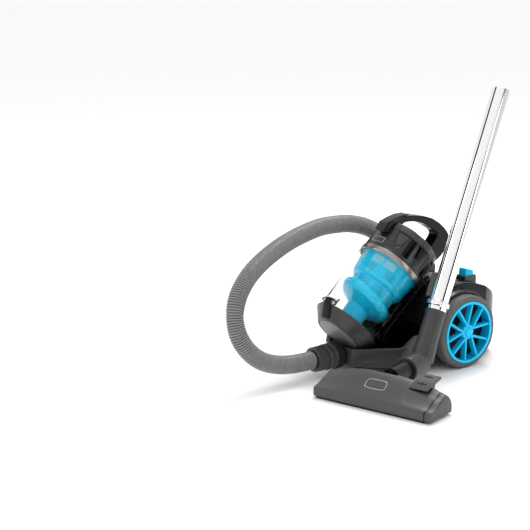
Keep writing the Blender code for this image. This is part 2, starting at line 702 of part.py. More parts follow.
def head(frame):
    """The head over the bin: shell, cap, filter, carrying handle and bin-release button."""
    turned(
        "head_shell",
        [
            (0.0720, 0.0003), (0.0720, 0.0040), (0.0705, 0.0060), (0.0650, 0.0682),
            (0.0620, 0.0682), (0.0675, 0.0060), (0.0675, 0.0003),
        ],
        GREY, frame, steps=36,
    )
    turned(
        "head_cap",
        [
            (0, HEAD_TOP), (0.0560, HEAD_TOP), (0.0615, 0.0850), (0.0650, 0.0685),
            (0.0620, 0.0685), (0.0587, 0.0830), (0.0550, 0.0850), (0, 0.0850),
        ],
        GREY, frame, steps=36,
    )
    rod("motor_filter", 0.0600, 0.0100, 0.0350, FOAM, frame)

    arch = [
        (-0.0830, 0.0260), (-0.0855, 0.0470), (-0.0780, 0.0640), (-0.0670, 0.0830), (-0.0460, 0.1060),
        (-0.0220, 0.1250), (0.0000, 0.1380), (0.0250, 0.1460), (0.0460, 0.1490), (0.0640, 0.1480),
        (0.0760, 0.1380), (0.0830, 0.1210), (0.0830, 0.1000), (0.0780, 0.0800), (0.0700, 0.0700),
        (0.0450, 0.0700), (0.0440, 0.1120), (0.0415, 0.1240), (0.0350, 0.1282), (0.0220, 0.1255),
        (0.0070, 0.1205), (-0.0150, 0.1115), (-0.0350, 0.0985), (-0.0520, 0.0820), (-0.0600, 0.0500),
        (-0.0600, 0.0260),
    ]
    handle = across("carry_handle", arch, HANDLE_WIDTH / 2, GREY, frame)
    cut(handle, turned("handle_seat", head_outline(GAP), None, frame, steps=36))
    pocket = [
        (0.0582, 0.156), (0.092, 0.156), (0.092, 0.1229), (0.0772, 0.1229),
        (0.0722, 0.1326), (0.0616, 0.1418), (0.0582, 0.1428),
    ]
    cut(handle, across("button_pocket", pocket, 0.0106, None, frame))
    button = [
        (0.0605, 0.1496), (0.0665, 0.1484), (0.0780, 0.1382), (0.0838, 0.1260),
        (0.0798, 0.1250), (0.0748, 0.1352), (0.0640, 0.1446), (0.0605, 0.1455),
    ]
    across("release_button", button, 0.0100, CYAN, frame)
    pad = [
        (-0.0860, 0.0260), (-0.0888, 0.0472), (-0.0808, 0.0654), (-0.0696, 0.0847),
        (-0.0674, 0.0834), (-0.0784, 0.0642), (-0.0859, 0.0470), (-0.0834, 0.0260),
    ]
    across("handle_pad", pad, 0.0125, MATT_BLACK, frame)
    badge = box("badge_plate", (-0.020, -0.0735, 0.0080), (0.020, -0.0600, 0.0220), WARM_METAL, frame)
    cut(badge, turned("badge_seat", head_outline(GAP), None, frame, steps=36))


# ---------------------------------------------------------------- floor tool and tube
def tool_section(x):
    """The floor tool's outline across its depth, at this distance from its middle: (y, z) points."""
    share = abs(x) / (TOOL_LENGTH / 2)
    ridge = 0.062 - 0.018 * share**2
    brow = 0.026 - 0.004 * share**2
    return [
        (0.0, 0.0045), (TOOL_DEPTH, 0.0045), (TOOL_DEPTH, ridge - 0.022), (0.072, ridge - 0.006),
        (0.060, ridge), (0.046, ridge - 0.004), (0.022, brow + 0.35 * (ridge - brow)),
        (0.003, brow), (0.0, brow - 0.004),
    ]


def loft(name, stations, finish, parent):
    """A closed solid through like outlines in (y, z) at stations along x, with flat ends."""
    bm = bmesh.new()
    rings = [[bm.verts.new((x, y, z)) for y, z in outline] for x, outline in stations]
    for first, second in zip(rings, rings[1:]):
        for i in range(len(first)):
            j = (i + 1) % len(first)
            bm.faces.new((first[i], first[j], second[j], second[i]))
    bm.faces.new(rings[0])
    bm.faces.new(rings[-1])
    bmesh.ops.recalc_face_normals(bm, faces=bm.faces)
    return place(name, mesh_from(bm, name), finish, parent)


def floor_tool(frame):
    """The nozzle: body, end cap, sole plate with its slot, brush strip, rocker pedal and rollers."""
    half = TOOL_LENGTH / 2
    cap_start = half - 0.014
    stations = [-half, -0.126, -0.100, -0.065, -0.030, 0.0, 0.030, 0.065, 0.100, cap_start]
    sections = [(x, tool_section(x)) for x in stations]
    sections[0] = (-half, inset(tool_section(-half), 0.003))
    body = loft("nozzle_body", sections, GREY, frame)
    chamber = [(x, inset(tool_section(x), 0.0035)) for x in (-0.128, -0.065, 0.0, 0.065, cap_start - 0.005)]
    hollow = loft("chamber", chamber, None, frame)
    cut(hollow, box("pedal_block", (0.0595, 0.0345, 0.0395), (0.1065, 0.0900, 0.0800), None, frame))
    cut(body, hollow)
    cut(body, box("sole_opening", (-0.128, 0.0035, 0), (cap_start - 0.005, 0.0775, 0.012), None, frame))
    cut(body, box("drum_slot", (-0.0240, 0.0490, 0.0230), (0.0240, 0.0900, 0.0572), None, frame))
    cut(body, box("tube_slot", (-0.0236, 0.0575, 0.0500), (0.0236, 0.0900, 0.0800), None, frame))
    for side in (-1, 1):
        cut(body, box(f"axle_slot_{side + 1}", (side * 0.090 - 0.011, 0.0640, 0), (side * 0.090 + 0.011, 0.0900, 0.0220), None, frame))
    cut(body, box("pedal_slot", (0.0620, 0.0380, 0.0435), (0.1040, 0.0900, 0.0800), None, frame))
    cut(body, rod("pin_hole", PEDAL_PIN + GAP, 0.0600, 0.1060, None, frame, PEDAL_PIVOT, OUT_LEFT, 12))

    cap_sections = [(x, tool_section(x)) for x in (cap_start + GAP, half - 0.004)]
    cap_sections.append((half, inset(tool_section(half), 0.004)))
    loft("end_cap", cap_sections, GREY, frame)

    sole = box("sole_plate", (-0.127, 0.0020, 0.0012), (cap_start - 0.001, 0.0790, 0.0042), MATT_BLACK, frame)
    cut(sole, box("suction_slot", (-0.110, 0.0240, -0.01), (0.100, 0.0420, 0.02), None, frame))
    cut(sole, box("brush_slot", (-0.112, 0.0085, -0.01), (0.102, 0.0165, 0.02), None, frame))
    for side in (-1, 1):
        cut(sole, box(f"roller_slot_{side + 1}", (side * 0.090 - 0.011, 0.0570, -0.01), (side * 0.090 + 0.011, 0.0900, 0.02), None, frame))
        name = "roller_left" if side > 0 else "roller_right"
        turned(
            name,
            [(0, -0.0080), (0.0070, -0.0080), (0.0080, -0.0065), (0.0080, 0.0065), (0.0070, 0.0080), (0, 0.0080)],
            RUBBER, frame, (side * 0.090, 0.0690, 0.0080), OUT_LEFT, 20,
        )
    box("brush_strip", (-0.110, 0.0095, 0.0046), (0.100, 0.0155, 0.0150), BRISTLE, frame)

    pedal = [
        (0.0400, 0.0480), (0.0560, 0.0540), (0.0590, 0.0455), (0.0650, 0.0455), (0.0680, 0.0560),
        (0.0900, 0.0610), (0.0915, 0.0645), (0.0880, 0.0665), (0.0600, 0.0620), (0.0400, 0.0515),
    ]
    rocker = across("brush_pedal", pedal, 0.0195, GREY, frame, 0.0830)
    join(rocker, rod("pedal_pin", PEDAL_PIN, 0.0603, 0.1057, None, frame, PEDAL_PIVOT, OUT_LEFT, 12))


def tube_set(frame, tube_frame):
    """The pitching knuckle, the swivelling neck and the telescopic tube with its lock."""
    x, y, z = KNUCKLE
    knuckle = rod("knuckle", 0.0160, -0.0230, 0.0230, MATT_BLACK, frame, KNUCKLE, OUT_LEFT, 24)
    join(knuckle, rod("knuckle_tube", 0.0172, 0.0085, 0.0840, None, frame, (x, y, 0.0500), REARWARD, 24))
    airway = [(x, y - 0.030, z), (x, y, z), (x, y + 0.020, 0.047), (x, y + 0.045, 0.050), (x, y + 0.10, 0.050)]
    cut(knuckle, curve_shape("knuckle_bore", airway, KNUCKLE_BORE, frame))

    neck = turned(
        "swivel_neck",
        [(0, 0.0560), (0.0225, 0.0560), (0.0250, 0.0500), (0.0250, 0.0010), (0.0235, 0.0), (0, 0.0)],
        GREY, frame, (0, 0.1300, 0.0500), REARWARD, 32,
    )
    neck_tube = turned(
        "neck_tube",
        [(0, 0.0), (0.0235, 0.0), (0.0205, 0.0500), (0.0200, 0.1040), (0, 0.1040)],
        None, tube_frame, steps=24,
    )
    join(neck, neck_tube)
    cut(neck, rod("elbow_bore", 0.0176, -0.01, 0.0520, None, frame, (0, 0.1300, 0.0500), REARWARD, 24))
    cut(neck, rod("neck_bore", 0.0171, 0.0, 0.12, None, tube_frame, steps=24))

    turned(
        "inner_tube",
        [(0.0168, 0.0400), (0.0168, 0.5600), (0.0154, 0.5600), (0.0154, 0.0400)],
        CHROME, tube_frame, steps=24,
    )
    turned(
        "outer_tube",
        [
            (TUBE_RADIUS, 0.1240), (TUBE_RADIUS, TUBE_TOP), (TUBE_RADIUS - 0.0012, TUBE_TOP),
            (TUBE_RADIUS - 0.0012, 0.1240),
        ],
        CHROME, tube_frame, steps=24,
    )
    turned(
        "lock_collar",
        [(0.0172, 0.1120), (0.0215, 0.1120), (0.0240, 0.1150), (0.0240, 0.1205), (0.0215, 0.1237), (0.0172, 0.1237)],
        CHROME, tube_frame, steps=24,
    )
    slider = box("lock_slider", (-0.0275, -0.0110, 0.1300), (-0.0140, 0.0110, 0.1800), GREY, tube_frame)
    cut(slider, rod("slider_seat", TUBE_RADIUS + GAP, 0.12, 0.19, None, tube_frame, steps=24))


# ---------------------------------------------------------------- the whole
def build():
    root = empty("vacuum_cleaner", None, ORIGIN)
    bin_frame = empty("bin_frame", root, BIN_RING, (-BIN_TILT, 0, 0))
    tool_frame = empty("tool_frame", root, TOOL_FRONT, (0, 0, TOOL_TURN))
    tube_frame = empty("tube_frame", tool_frame, ELBOW, (-TUBE_LEAN, 0, 0))
    chassis(root)
    housing(root, bin_frame)
    inner_works(root)
    for side in (1, -1):
        wheel(side, root)
    hose_fittings(root)
    pipe("hose", HOSE_ROUTE, HOSE_RADIUS, HOSE_GREY, root)
    hand_grip(root)
    seat = turned(
        "bin_cradle",
        [(0.0780, -0.1350), (0.0820, -0.1350), (0.0820, 0.0220), (0.0780, 0.0220)],
        BLACK, bin_frame, steps=36,
    )
    cut(seat, box("cradle_trim", (-0.2, -0.2, -0.3), (0.2, 0.034, 0.1), None, bin_frame))
    dust_bin(bin_frame)
    head(bin_frame)
    floor_tool(tool_frame)
    tube_set(tool_frame, tube_frame)


build()
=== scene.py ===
"""Looks of a bagless canister vacuum cleaner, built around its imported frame.

Metres, +Z up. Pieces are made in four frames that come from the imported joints: ROOT, on the floor
under the rear axle; BIN, along the bin's axis, with -Y at its front; TOOL, at the middle of the
floor tool's front edge; and TUBE, along the telescopic tube.
"""

import json
import math

import bmesh
import bpy
from mathutils import Matrix, Vector

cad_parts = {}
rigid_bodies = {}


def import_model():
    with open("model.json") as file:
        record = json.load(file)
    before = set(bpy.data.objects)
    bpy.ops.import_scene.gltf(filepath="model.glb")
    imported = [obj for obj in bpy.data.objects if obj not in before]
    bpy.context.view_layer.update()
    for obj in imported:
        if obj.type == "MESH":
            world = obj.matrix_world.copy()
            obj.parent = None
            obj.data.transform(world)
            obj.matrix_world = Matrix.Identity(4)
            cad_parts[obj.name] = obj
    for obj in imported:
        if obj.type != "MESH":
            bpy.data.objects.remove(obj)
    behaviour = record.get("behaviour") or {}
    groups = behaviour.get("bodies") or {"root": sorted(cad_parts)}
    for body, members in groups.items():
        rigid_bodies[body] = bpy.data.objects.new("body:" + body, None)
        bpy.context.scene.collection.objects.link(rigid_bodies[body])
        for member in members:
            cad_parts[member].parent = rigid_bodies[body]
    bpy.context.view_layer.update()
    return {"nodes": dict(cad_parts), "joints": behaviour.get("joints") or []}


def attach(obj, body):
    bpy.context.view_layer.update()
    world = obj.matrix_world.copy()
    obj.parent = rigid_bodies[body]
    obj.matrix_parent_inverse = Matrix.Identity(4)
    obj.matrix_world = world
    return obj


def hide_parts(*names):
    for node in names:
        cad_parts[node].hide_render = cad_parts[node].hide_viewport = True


for startup in list(bpy.data.objects):
    bpy.data.objects.remove(startup, do_unlink=True)
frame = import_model()

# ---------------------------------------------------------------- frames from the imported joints
JOINTS = {joint["name"]: joint for joint in frame["joints"]}


def joint_at(name):
    return Vector(JOINTS[name]["pos_m"])


def joint_axis(name):
    return Vector(JOINTS[name]["axis"])


def moved(x, y, z):
    return Matrix.Translation((x, y, z))


def turned_by(angle, axis):
    return Matrix.Rotation(angle, 4, axis)


AXLE = (joint_at("wheel_left_spin") + joint_at("wheel_right_spin")) / 2
WHEEL_RADIUS = AXLE.z
ROOT = moved(AXLE.x, AXLE.y, 0)
lift = joint_axis("head_lift")
BIN = ROOT @ moved(0, -0.092, 0.204) @ turned_by(-math.atan2(lift.y, lift.z), "X")
KNUCKLE = Vector((0, 0.066, 0.040))  # in the tool's frame
pitch = joint_axis("knuckle_pitch")
TOOL_TURN = turned_by(math.atan2(pitch.y, pitch.x), "Z")
TOOL = Matrix.Translation(joint_at("knuckle_pitch") - TOOL_TURN @ KNUCKLE) @ TOOL_TURN
ELBOW = (0, 0.189, 0.054)
TUBE = TOOL @ moved(*ELBOW) @ turned_by(-math.acos(joint_axis("tube_extend").z), "X")
SIDEWAYS = turned_by(math.pi / 2, "Z") @ turned_by(math.pi / 2, "X")  # (y, z) outlines, thick in x
REARWARD = turned_by(-math.pi / 2, "X")
FORWARD = turned_by(math.pi / 2, "X")

# ---------------------------------------------------------------- sizes
TYRE_BORE = 0.0653
RIM_FACE = 0.1446
SPOKE_PAIRS = 5
BIN_RADIUS = 0.070
CUP_TOP = -0.160
HEAD_SEAM = 0.0520
HEAD_TOP = 0.0700
SHELL_LOW = 0.006
SCOOPS = (-122, -79, -36, 36, 79, 122)  # degrees round the head from its front
SCOOP_LOW = 0.016
SCOOP_DEPTH = 0.0034
PANELS = (-101, -57.5, 57.5, 101)
TOOL_LENGTH = 0.267
TOOL_DEPTH = 0.081
TUBE_RADIUS = 0.0192
TUBE_TOP = 0.589
SOCKET = (0, -0.2323, 0.040)
HOSE_RADIUS = 0.019
HOSE_PITCH = 0.0046
HOSE_ROUTE = [
    (0.000, -0.3023, 0.0400), (0.000, -0.3340, 0.0400), (-0.001, -0.3720, 0.0430),
    (-0.003, -0.4080, 0.0520), (-0.006, -0.4360, 0.0660), (-0.011, -0.4590, 0.0880),
    (-0.018, -0.4730, 0.1140), (-0.025, -0.4770, 0.1410), (-0.032, -0.4720, 0.1690),
    (-0.041, -0.4560, 0.1950), (-0.052, -0.4260, 0.2210), (-0.065, -0.3860, 0.2410),
    (-0.078, -0.3370, 0.2580), (-0.089, -0.2900, 0.2700), (-0.098, -0.2430, 0.2780),
    (-0.105, -0.1970, 0.2830), (-0.110, -0.1520, 0.2820), (-0.114, -0.1070, 0.2770),
    (-0.119, -0.0590, 0.2630), (-0.126, -0.0130, 0.2400), (-0.135, 0.0300, 0.2080),
    (-0.145, 0.0680, 0.1680), (-0.155, 0.1010, 0.1230), (-0.165, 0.1330, 0.0800),
    (-0.179, 0.1680, 0.0450), (-0.201, 0.2050, 0.0250), (-0.235, 0.2390, 0.0195),
    (-0.272, 0.2560, 0.0195), (-0.310, 0.2640, 0.0195),
]


# ---------------------------------------------------------------- materials
def new_node(tree, kind, **values):
    made = tree.nodes.new(kind)
    for name, value in values.items():
        if hasattr(made, name):
            setattr(made, name, value)
        else:
            made.inputs[name.replace("_", " ")].default_value = value
    return made


def finish(name, colour, roughness, spread=0.05, mottle=0.08, grain=900, bump=0.05, **constants):
    """A moulded or metal surface: uneven colour, uneven gloss and a fine grain."""
    made = bpy.data.materials.new(name)
    made.use_nodes = True
    tree = made.node_tree
    link = tree.links.new
    shader = tree.nodes["Principled BSDF"]
    for socket, value in constants.items():
        shader.inputs[socket.replace("_", " ")].default_value = value
    place = new_node(tree, "ShaderNodeTexCoord").outputs["Object"]

    patches = new_node(tree, "ShaderNodeTexNoise", Scale=22.0, Detail=4.0)
    link(place, patches.inputs["Vector"])
    tint = new_node(tree, "ShaderNodeMix", data_type="RGBA")
    tint.inputs["A"].default_value = (*[c * (1 - mottle) for c in colour], 1)
    tint.inputs["B"].default_value = (*[min(1, c * (1 + mottle)) for c in colour], 1)
    link(patches.outputs["Fac"], tint.inputs["Factor"])
    link(tint.outputs["Result"], shader.inputs["Base Color"])

    smears = new_node(tree, "ShaderNodeTexNoise", Scale=60.0, Detail=6.0)
    link(place, smears.inputs["Vector"])
    gloss = new_node(tree, "ShaderNodeMapRange", From_Min=0.3, From_Max=0.7)
    gloss.inputs["To Min"].default_value = max(0.02, roughness - spread)
    gloss.inputs["To Max"].default_value = roughness + spread
    link(smears.outputs["Fac"], gloss.inputs["Value"])
    link(gloss.outputs["Result"], shader.inputs["Roughness"])

    fine = new_node(tree, "ShaderNodeTexNoise", Scale=float(grain), Detail=3.0)
    link(place, fine.inputs["Vector"])
    relief = new_node(tree, "ShaderNodeBump", Strength=bump, Distance=0.0004)
    link(fine.outputs["Fac"], relief.inputs["Height"])
    link(relief.outputs["Normal"], shader.inputs["Normal"])
    return made


GREY = finish("satin_grey_plastic", (0.036, 0.035, 0.034), 0.36, grain=1400, bump=0.10)
HEAD_GREY = finish("satin_black_plastic", (0.016, 0.016, 0.016), 0.26, grain=1400, bump=0.06)
PALE_GREY = finish("pale_grey_plastic", (0.20, 0.20, 0.20), 0.42, grain=1200, bump=0.08)
TOOL_GREY = finish("grained_grey_plastic", (0.052, 0.054, 0.054), 0.46, grain=1500, bump=0.16)
GLOSS = finish(
    "gloss_black_plastic", (0.0015, 0.0015, 0.002), 0.12, 0.03, bump=0.01, Specular_IOR_Level=0.22,
)
MATT = finish(
    "matt_black_plastic", (0.004, 0.004, 0.004), 0.42, grain=1200, bump=0.12, Specular_IOR_Level=0.3,
)
TEXTURED = finish("textured_grip", (0.008, 0.008, 0.008), 0.60, grain=420, bump=0.75)
CYAN = finish("cyan_plastic", (0.0, 0.54, 0.86), 0.34, bump=0.03, Specular_IOR_Level=0.3)
CYAN_CLEAR = finish("cyan_translucent", (0.0, 0.62, 0.96), 0.24, bump=0.02, Coat_Weight=0.2)
CYAN_LIGHT = finish(
    "cyan_window", (0.30, 0.82, 0.98), 0.16, bump=0.01, Transmission_Weight=0.2, IOR=1.3,
)
# Dark cyan for the perforation pips: painted shade standing in for the dark insides of holes that are not
# cut.
HOLE_SHADE_CYAN = finish("cyan_painted_hole_shade", (0.0, 0.10, 0.20), 0.5, bump=0.02)
CLEAR = finish(
    "clear_plastic", (0.985, 0.99, 0.99), 0.03, 0.01, 0.003, bump=0.0, Transmission_Weight=1.0, IOR=1.14,
)
CLEAR_EDGE = finish(
    "clear_catch", (0.84, 0.85, 0.85), 0.06, 0.02, 0.01, bump=0.0, Transmission_Weight=0.95, IOR=1.22,
)
CHROME = finish("chrome", (0.94, 0.94, 0.945), 0.03, 0.01, 0.01, bump=0.0, Metallic=1.0)
STEEL = finish("inner_steel", (0.60, 0.60, 0.61), 0.22, bump=0.02, Metallic=1.0)
WARM = finish("warm_satin_metal", (0.34, 0.315, 0.30), 0.30, grain=700, bump=0.05, Metallic=1.0)
SILVER = finish("silver_print", (0.62, 0.62, 0.62), 0.35, bump=0.02, Metallic=0.3)
RUBBER = finish("tyre_rubber", (0.100, 0.094, 0.090), 0.62, mottle=0.12, grain=800, bump=0.30)
HOSE_GREY = finish("hose_plastic", (0.235, 0.235, 0.235), 0.28, mottle=0.06, grain=600, bump=0.04)
FOAM = finish("filter_foam", (0.70, 0.70, 0.66), 0.92, mottle=0.25, grain=350, bump=0.9)
BRISTLE = finish("brush_bristle", (0.03, 0.03, 0.03), 0.7, bump=0.2)


# ---------------------------------------------------------------- making pieces
def shaded(mesh, sharp=35):
    mesh.shade_smooth()
    mesh.set_sharp_from_angle(angle=math.radians(sharp))
    return mesh


def mesh_of(bm, name):
    bmesh.ops.recalc_face_normals(bm, faces=bm.faces)
    mesh = bpy.data.meshes.new(name)
    bm.to_mesh(mesh)
    bm.free()
    return shaded(mesh)


def piece(name, mesh, look, body, at=ROOT, stands_for=(), edge=0.0):
    """A new visible piece on a body, in place of the CAD nodes it stands for."""
    made = bpy.data.objects.new(name, mesh)
    bpy.context.scene.collection.objects.link(made)
    mesh.materials.clear()
    mesh.materials.append(look)
    made.matrix_world = at
    if edge:
        bevel(made, edge)
    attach(made, body)
    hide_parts(*stands_for)
    return made


def bevel(made, width, segments=3):
    step = made.modifiers.new("rounded_edges", "BEVEL")
    step.width = width
    step.segments = segments
    step.limit_method = "ANGLE"
    step.angle_limit = math.radians(38)
    step.harden_normals = True


def keep(node, look, edge=0.0006):
    """A CAD node that stays, with soft edges and a new finish."""
    made = frame["nodes"][node]
    made.data.materials.clear()
    made.data.materials.append(look)
    made.data.shade_smooth()
    weld = made.modifiers.new("weld", "WELD")
    weld.merge_threshold = 0.00001
    flat = made.modifiers.new("flat_faces", "DECIMATE")
    flat.decimate_type = "DISSOLVE"
    flat.angle_limit = math.radians(0.5)
    bevel(made, edge)


def soften(points, radius, parts=3):
    """The closed outline with each of its corners turned into a short curve."""
    result = []
    count = len(points)
    for i, here in enumerate(points):
        corner = Vector(here)
        back = Vector(points[i - 1]) - corner
        on = Vector(points[(i + 1) % count]) - corner
        reach = min(radius, 0.45 * back.length, 0.45 * on.length)
        if reach < 0.00002 or back.angle(on) > math.radians(172):
            result.append(tuple(corner))
            continue
        start = corner + back.normalized() * reach
        end = corner + on.normalized() * reach
        for k in range(parts + 1):
            t = k / parts
            result.append(tuple(start * (1 - t) ** 2 + 2 * t * (1 - t) * corner + end * t**2))
    return result


def lathe(name, profile, steps=96, corner=0.0006, relief=None):
    """A turned solid about Z from a closed (radius, height) outline. Angles run from -Y towards +X."""
    profile = [(max(0.0, r), z) for r, z in soften(profile, corner)] if corner else profile
    bm = bmesh.new()
    rings = []
    for radius, height in profile:
        if radius < 0.00001:
            rings.append([bm.verts.new((0, 0, height))])
            continue
        ring = []
        for i in range(steps):
            angle = 2 * math.pi * i / steps
            r = radius + (relief(angle, radius, height) if relief else 0)
            ring.append(bm.verts.new((r * math.sin(angle), -r * math.cos(angle), height)))
        rings.append(ring)
    for first, second in zip(rings, rings[1:] + rings[:1]):
        if len(first) == len(second) == 1:
            continue
        for i in range(steps):
            j = (i + 1) % steps
            corners = [
                first[i % len(first)], first[j % len(first)],
                second[j % len(second)], second[i % len(second)],
            ]
            bm.faces.new(list(dict.fromkeys(corners)))
    return mesh_of(bm, name)


def prism(name, outline, half, middle=0.0, corner=0.0):
    """A (y, z) outline, thick along x."""
    outline = soften(outline, corner) if corner else outline
    bm = bmesh.new()
    low = [bm.verts.new((y, z, middle - half)) for y, z in outline]
    high = [bm.verts.new((y, z, middle + half)) for y, z in outline]
    for i in range(len(outline)):
        j = (i + 1) % len(outline)
        bm.faces.new((low[i], low[j], high[j], high[i]))
    bm.faces.new(low)
    bm.faces.new(high)
    bm.transform(SIDEWAYS)
    return mesh_of(bm, name)


def block(name, low, high):
    bm = bmesh.new()
    bmesh.ops.create_cube(bm, size=1)
    size = [b - a for a, b in zip(low, high)]
    centre = [(a + b) / 2 for a, b in zip(low, high)]
    bm.transform(Matrix.Translation(centre) @ Matrix.Diagonal((*size, 1)))
    return mesh_of(bm, name)


def loft(name, stations):
    """A closed solid through like outlines in (y, z) at stations along x."""
    bm = bmesh.new()
    rings = [[bm.verts.new((x, y, z)) for y, z in outline] for x, outline in stations]
    for first, second in zip(rings, rings[1:]):
        for i in range(len(first)):
            j = (i + 1) % len(first)
            bm.faces.new((first[i], first[j], second[j], second[i]))
    bm.faces.new(rings[0])
    bm.faces.new(rings[-1])
    return mesh_of(bm, name)


def smooth_line(route, between):
    """Points of a Catmull-Rom curve through the route."""
    route = [Vector(point) for point in route]
    padded = [2 * route[0] - route[1], *route, 2 * route[-1] - route[-2]]
    points = []
    for a, b, c, d in zip(padded, padded[1:], padded[2:], padded[3:]):
        for i in range(between):
            t = i / between
            points.append(0.5 * (
                2 * b + (c - a) * t + (2 * a - 5 * b + 4 * c - d) * t**2 + (3 * b - a - 3 * c + d) * t**3
            ))
    return [*points, route[-1]]


def even_line(points, step):
    """The same line with points at equal distances."""
    result, left = [points[0]], step
    for a, b in zip(points, points[1:]):
        span = (b - a).length
        done = 0.0
        while span - done >= left:
            done += left
            result.append(a.lerp(b, done / span))
            left = step
        left -= span - done
    return result


def swept(name, points, radius, sides=12, closed=False, squash=1.0):
    """A round bar along the points. radius is a number or a function of the point's index."""
    bm = bmesh.new()
    across = Vector((0, 0, 1))
    rings = []
    last = len(points) - 1
    for i, point in enumerate(points):
        after = points[(i + 1) % len(points)] if closed or i < last else point
        before = points[i - 1] if closed or i else point
        along = (after - before).normalized()
        across = (across - along * across.dot(along)).normalized()
        third = along.cross(across)
        r = radius(i) if callable(radius) else radius
        ring = []
        for k in range(sides):
            angle = 2 * math.pi * k / sides
            around = math.cos(angle) * across + squash * math.sin(angle) * third
            ring.append(bm.verts.new(point + r * around))
        rings.append(ring)
    pairs = list(zip(rings, rings[1:])) + ([(rings[-1], rings[0])] if closed else [])
    for first, second in pairs:
        for k in range(sides):
            m = (k + 1) % sides
            bm.faces.new((first[k], first[m], second[m], second[k]))
    if not closed:
        bm.faces.new(rings[0])
        bm.faces.new(rings[-1])
    return mesh_of(bm, name)


def plate(name, surface, angles, heights, thickness, corner=0.25, steps=(20, 12), taper=0.0):
    """A thin plate with rounded corners on a turned surface, whose radius is surface(height)."""
    sunk = 0.0004  # how far its back lies under the surface
    bm = bmesh.new()
    middle = (angles[0] + angles[1]) / 2
    half = (angles[1] - angles[0]) / 2
    grids = []
    for depth in (-sunk, thickness):
        grid = []
        for j in range(steps[1] + 1):
            v = 2 * j / steps[1] - 1
            height = heights[0] + (heights[1] - heights[0]) * j / steps[1]
            pull = max(0.0, abs(v) - (1 - corner)) / corner
            wide = half * (1 - 0.3 * corner * pull**2) * (1 + taper * v)
            row = []
            for i in range(steps[0] + 1):
                angle = math.radians(middle + wide * (2 * i / steps[0] - 1))
                r = surface(height) + depth
                row.append(bm.verts.new((r * math.sin(angle), -r * math.cos(angle), height)))
            grid.append(row)
        grids.append(grid)
    low, high = grids
    for j in range(steps[1]):
        for i in range(steps[0]):
            for grid in grids:
                bm.faces.new((grid[j][i], grid[j][i + 1], grid[j + 1][i + 1], grid[j + 1][i]))
    rim = [(0, i) for i in range(steps[0])] + [(j, steps[0]) for j in range(steps[1])]
    rim += [(steps[1], i) for i in range(steps[0], 0, -1)] + [(j, 0) for j in range(steps[1], 0, -1)]
    for (a, b), (c, d) in zip(rim, rim[1:] + rim[:1]):
        bm.faces.new((low[a][b], low[c][d], high[c][d], high[a][b]))
    return mesh_of(bm, name)


def joined(name, meshes):
    """One mesh that holds all these."""
    bm = bmesh.new()
    for mesh in meshes:
        bm.from_mesh(mesh)
    return mesh_of(bm, name)


def carved(name, base, cuts=(), adds=()):
    """The mesh with solids joined to it and then others cut from it."""
    target = bpy.data.objects.new(name, base)
    bpy.context.scene.collection.objects.link(target)
    extra = []
    for operation, solids in (("UNION", adds), ("DIFFERENCE", cuts)):
        for solid in solids:
            other = bpy.data.objects.new(f"{name}_{len(extra)}", solid)
            bpy.context.scene.collection.objects.link(other)
            extra.append(other)
            step = target.modifiers.new(operation.lower(), "BOOLEAN")
            step.operation = operation
            step.solver = "EXACT"
            step.object = other
    graph = bpy.context.evaluated_depsgraph_get()
    made = bpy.data.meshes.new_from_object(target.evaluated_get(graph))
    for helper in [target, *extra]:
        bpy.data.objects.remove(helper, do_unlink=True)
    return shaded(made)


def shifted(mesh, matrix):
    mesh.transform(matrix)
    return mesh


def smoothstep(low, high, x):
    t = min(1.0, max(0.0, (x - low) / (high - low)))
    return t * t * (3 - 2 * t)


# ---------------------------------------------------------------- hose
def hose():
    """The ribbed hose, its knurled cuff, the swivelling collar and the socket."""
    groove = (0.0, 0.0002, 0.0014, 0.0036, 0.0014, 0.0002)
    end_radius = 0.0168
    line = even_line([ROOT @ p for p in smooth_line(HOSE_ROUTE, 12)], HOSE_PITCH / len(groove))

    def ribbed(i):
        return HOSE_RADIUS - groove[i % len(groove)] if 3 < i < len(line) - 4 else end_radius

    mesh = swept("hose", line, ribbed, 30)
    made = piece("ribbed_hose", mesh, HOSE_GREY, "canister", Matrix(), ["hose"])

    def knurled(angle, radius, height):
        return 0.0005 * math.cos(44 * angle) if radius > 0.0245 and 0.0475 < height < 0.0615 else 0

    cuff = [
        (0.0150, 0.0424), (0.0238, 0.0424), (0.0238, 0.0440), (0.0250, 0.0446), (0.0250, 0.0480),
        (0.0250, 0.0520), (0.0250, 0.0570), (0.0250, 0.0610), (0.0250, 0.0640), (0.0255, 0.0645),
        (0.0255, 0.0670), (0.0240, 0.0696), (0.0192, 0.0696), (0.0192, 0.0660), (0.0150, 0.0660),
    ]
    socket = ROOT @ moved(*SOCKET) @ FORWARD
    cuff_piece = piece(
        "hose_cuff_knurled", lathe("cuff", cuff, 264, 0.0005, knurled), GREY, "canister", socket,
        ["hose_cuff"],
    )
    collar = [
        (0.0146, 0.0184), (0.0262, 0.0184), (0.0270, 0.0196), (0.0270, 0.0255), (0.0252, 0.0262),
        (0.0252, 0.0290), (0.0264, 0.0296), (0.0269, 0.0340), (0.0266, 0.0405), (0.0250, 0.0420),
        (0.0146, 0.0420),
    ]
    piece("swivel_ring", lathe("collar", collar, 128, 0.0006), GREY, "swivel_collar", socket,
          ["swivel_collar"])
    seat = [
        (0.0146, -0.0200), (0.0146, 0.0180), (0.0278, 0.0180), (0.0290, 0.0168), (0.0290, 0.0130),
        (0.0276, 0.0124), (0.0276, 0.0104), (0.0290, 0.0098), (0.0290, 0.0050), (0.0262, 0.0020),
        (0.0240, 0.0004), (0.0150, 0.0004), (0.0150, -0.0200),
    ]
    piece("socket_rings", lathe("socket", seat, 128, 0.0006), MATT, "canister", socket, ["hose_socket"])
    keep("hand_grip", GREY, 0.0004)
    keep("suction_slider", GLOSS, 0.0006)


